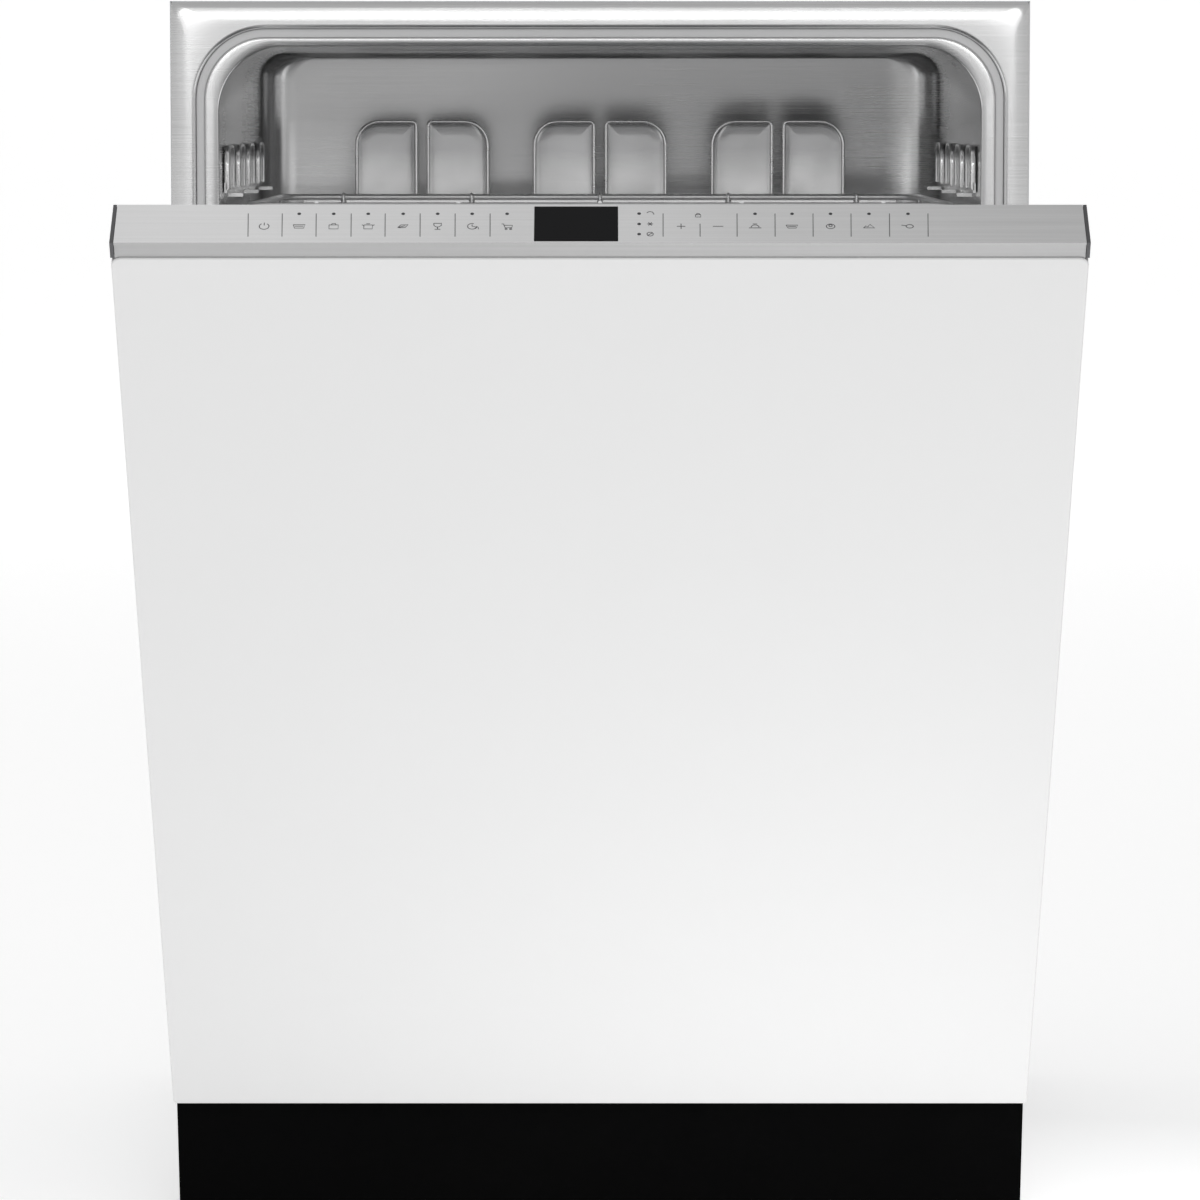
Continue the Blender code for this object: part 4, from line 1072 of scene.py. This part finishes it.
def make_panel_print():
    """Printed key symbols and dividers, and the lamps' small windows."""
    bm = bmesh.new()
    for place, strokes in ICONS.items():
        centre = panel_point(*place)
        for stroke in strokes:
            points = [centre + Vector((u / 1000, v / 1000, 0)) for u, v in stroke]
            add_tube(bm, points, 0.00030, 6)
    dividers = [(x, 213.5, 236.0) for x in DIVIDERS] + [(700, 223.5, 236.0)]
    for x, top, bottom in dividers:
        add_tube(bm, [panel_point(x, top), panel_point(x, bottom)], 0.00028, 6)
    for vert in bm.verts:
        vert.co.z = DOOR_TOP + (vert.co.z - DOOR_TOP) * 0.5
    piece("panel_print", bm, INK, "door", place=DOOR)
    bm = bmesh.new()
    for place in LAMPS:
        add_turned(bm, [(0, -0.0004), (0.00115, -0.0004), (0.00115, 0.00012), (0.0009, 0.0002), (0, 0.0002)],
                   panel_point(*place), "Z", 16)
    piece("lamp_windows", bm, LAMP, "door", place=DOOR)


def make_door():
    """The door with its panel, liner and dispenser."""
    make_outer_panel()
    make_liner()
    dress("control_fascia", SILVER, 0.0004, 3)
    dress("display_lens", GLASS, 0.0003)
    dress("control_board", BOARD)
    make_panel_print()
    for side in ("left", "right"):
        dress("fascia_end_cap_" + side, CAP, 0.0006, 3)
        dress("hinge_arm_" + side, ZINC, 0.0005)
    dress("dispenser_body", GREY, 0.0015, 3)
    dress("dispenser_lid", GREY, 0.0007)
    dress("rinse_aid_cap", DARK, 0.0006)
    dress("door_latch", BLACK, 0.0005)


# Setting ------------------------------

def make_setting():
    """Pale floor that curves up into a backdrop, with a painted pool of light in its glow near the machine,
    soft studio lights, world and camera.
    """
    scene = bpy.context.scene
    scene.view_settings.view_transform = "Standard"
    floor, tree, shader = new_material("studio_floor", (0.90, 0.90, 0.90), 0.8)
    shader.inputs["Emission Color"].default_value = (1.0, 1.0, 1.0, 1.0)
    # painted pool of light: the floor's emission is stronger in a round patch near the machine's front
    painted_light_pool = tree.nodes.new("ShaderNodeTexGradient")
    painted_light_pool.gradient_type = "SPHERICAL"
    tree.links.new(mapped(tree, (1.6, 1.6, 1.6), (-0.45, 0.50, 0.0)), painted_light_pool.inputs["Vector"])
    glow = map_range(tree, painted_light_pool.outputs["Fac"], 0.0, 1.0, 0.49, 0.90)
    tree.links.new(glow, shader.inputs["Emission Strength"])
    relief(tree, shader, noise(tree, 40, 2.0), 0.05, 0.0005)
    bm = bmesh.new()
    reach = 7.5
    profile = [(-reach, 0.0), (reach, 0.0)]
    steps, radius = 16, 2.0
    for step in range(1, steps + 1):
        angle = math.radians(90 * step / steps)
        profile.append((reach + radius * math.sin(angle), radius * (1 - math.cos(angle))))
    profile.append((reach + radius, 6.0))
    rows = [[bm.verts.new((x, y, z)) for y, z in profile] for x in (-reach, reach)]
    for index in range(len(profile) - 1):
        bm.faces.new((rows[0][index], rows[1][index], rows[1][index + 1], rows[0][index + 1]))
    piece("studio_floor", bm, floor, None, place=Matrix(), solid=False)

    world = bpy.data.worlds.new("studio")
    world.use_nodes = True
    tree = world.node_tree
    height = map_range(tree, upward(tree, "Generated"), -1.0, 1.0, 0.0, 1.0)
    ramp = tree.nodes.new("ShaderNodeValToRGB")
    points = ramp.color_ramp.elements
    points[0].position, points[1].position = 0.0, 1.0
    for place, value in ((0.0, 0.85), (0.46, 0.90), (0.505, 1.0), (0.55, 0.90), (0.66, 0.85), (1.0, 0.85)):
        point = points[0] if place == 0.0 else points[-1] if place == 1.0 else points.new(place)
        point.color = (value, value, value, 1.0)
    tree.links.new(height, ramp.inputs["Fac"])
    tree.links.new(ramp.outputs["Color"], tree.nodes["Background"].inputs["Color"])
    tree.nodes["Background"].inputs["Strength"].default_value = 0.49
    scene.world = world

    def softbox(name, place, target, size, power):
        light = bpy.data.lights.new(name, "AREA")
        light.shape = "RECTANGLE"
        light.size, light.size_y = size
        light.energy = power
        light.spread = math.pi
        made = bpy.data.objects.new(name, light)
        made.location = place
        made.rotation_mode = "QUATERNION"
        made.rotation_quaternion = (Vector(target) - Vector(place)).to_track_quat("-Z", "Y")
        scene.collection.objects.link(made)

    softbox("front_light", (0.0, -3.0, 1.27), (0.0, 0.4, 0.75), (1.8, 0.30), 7)
    softbox("top_light", (-0.9, 0.2, 3.0), (-0.2, -0.3, 0.7), (2.0, 2.0), 5)


def make_camera():
    """Long lens straight in front, looking slightly down."""
    distance, height, tilt = 3.7798, 0.7695, 5.145
    data = bpy.data.cameras.new("camera")
    data.sensor_width = 36.0
    data.lens = 162.26
    data.clip_start = 0.1
    data.clip_end = 50.0
    camera = bpy.data.objects.new("camera", data)
    camera.location = (0, FLANGE_Y - distance, height)
    camera.rotation_euler = (math.radians(90 - tilt), 0, 0)
    bpy.context.scene.collection.objects.link(camera)
    bpy.context.scene.camera = camera


make_camera()
make_cabinet()
make_door()
make_racks()
make_setting()
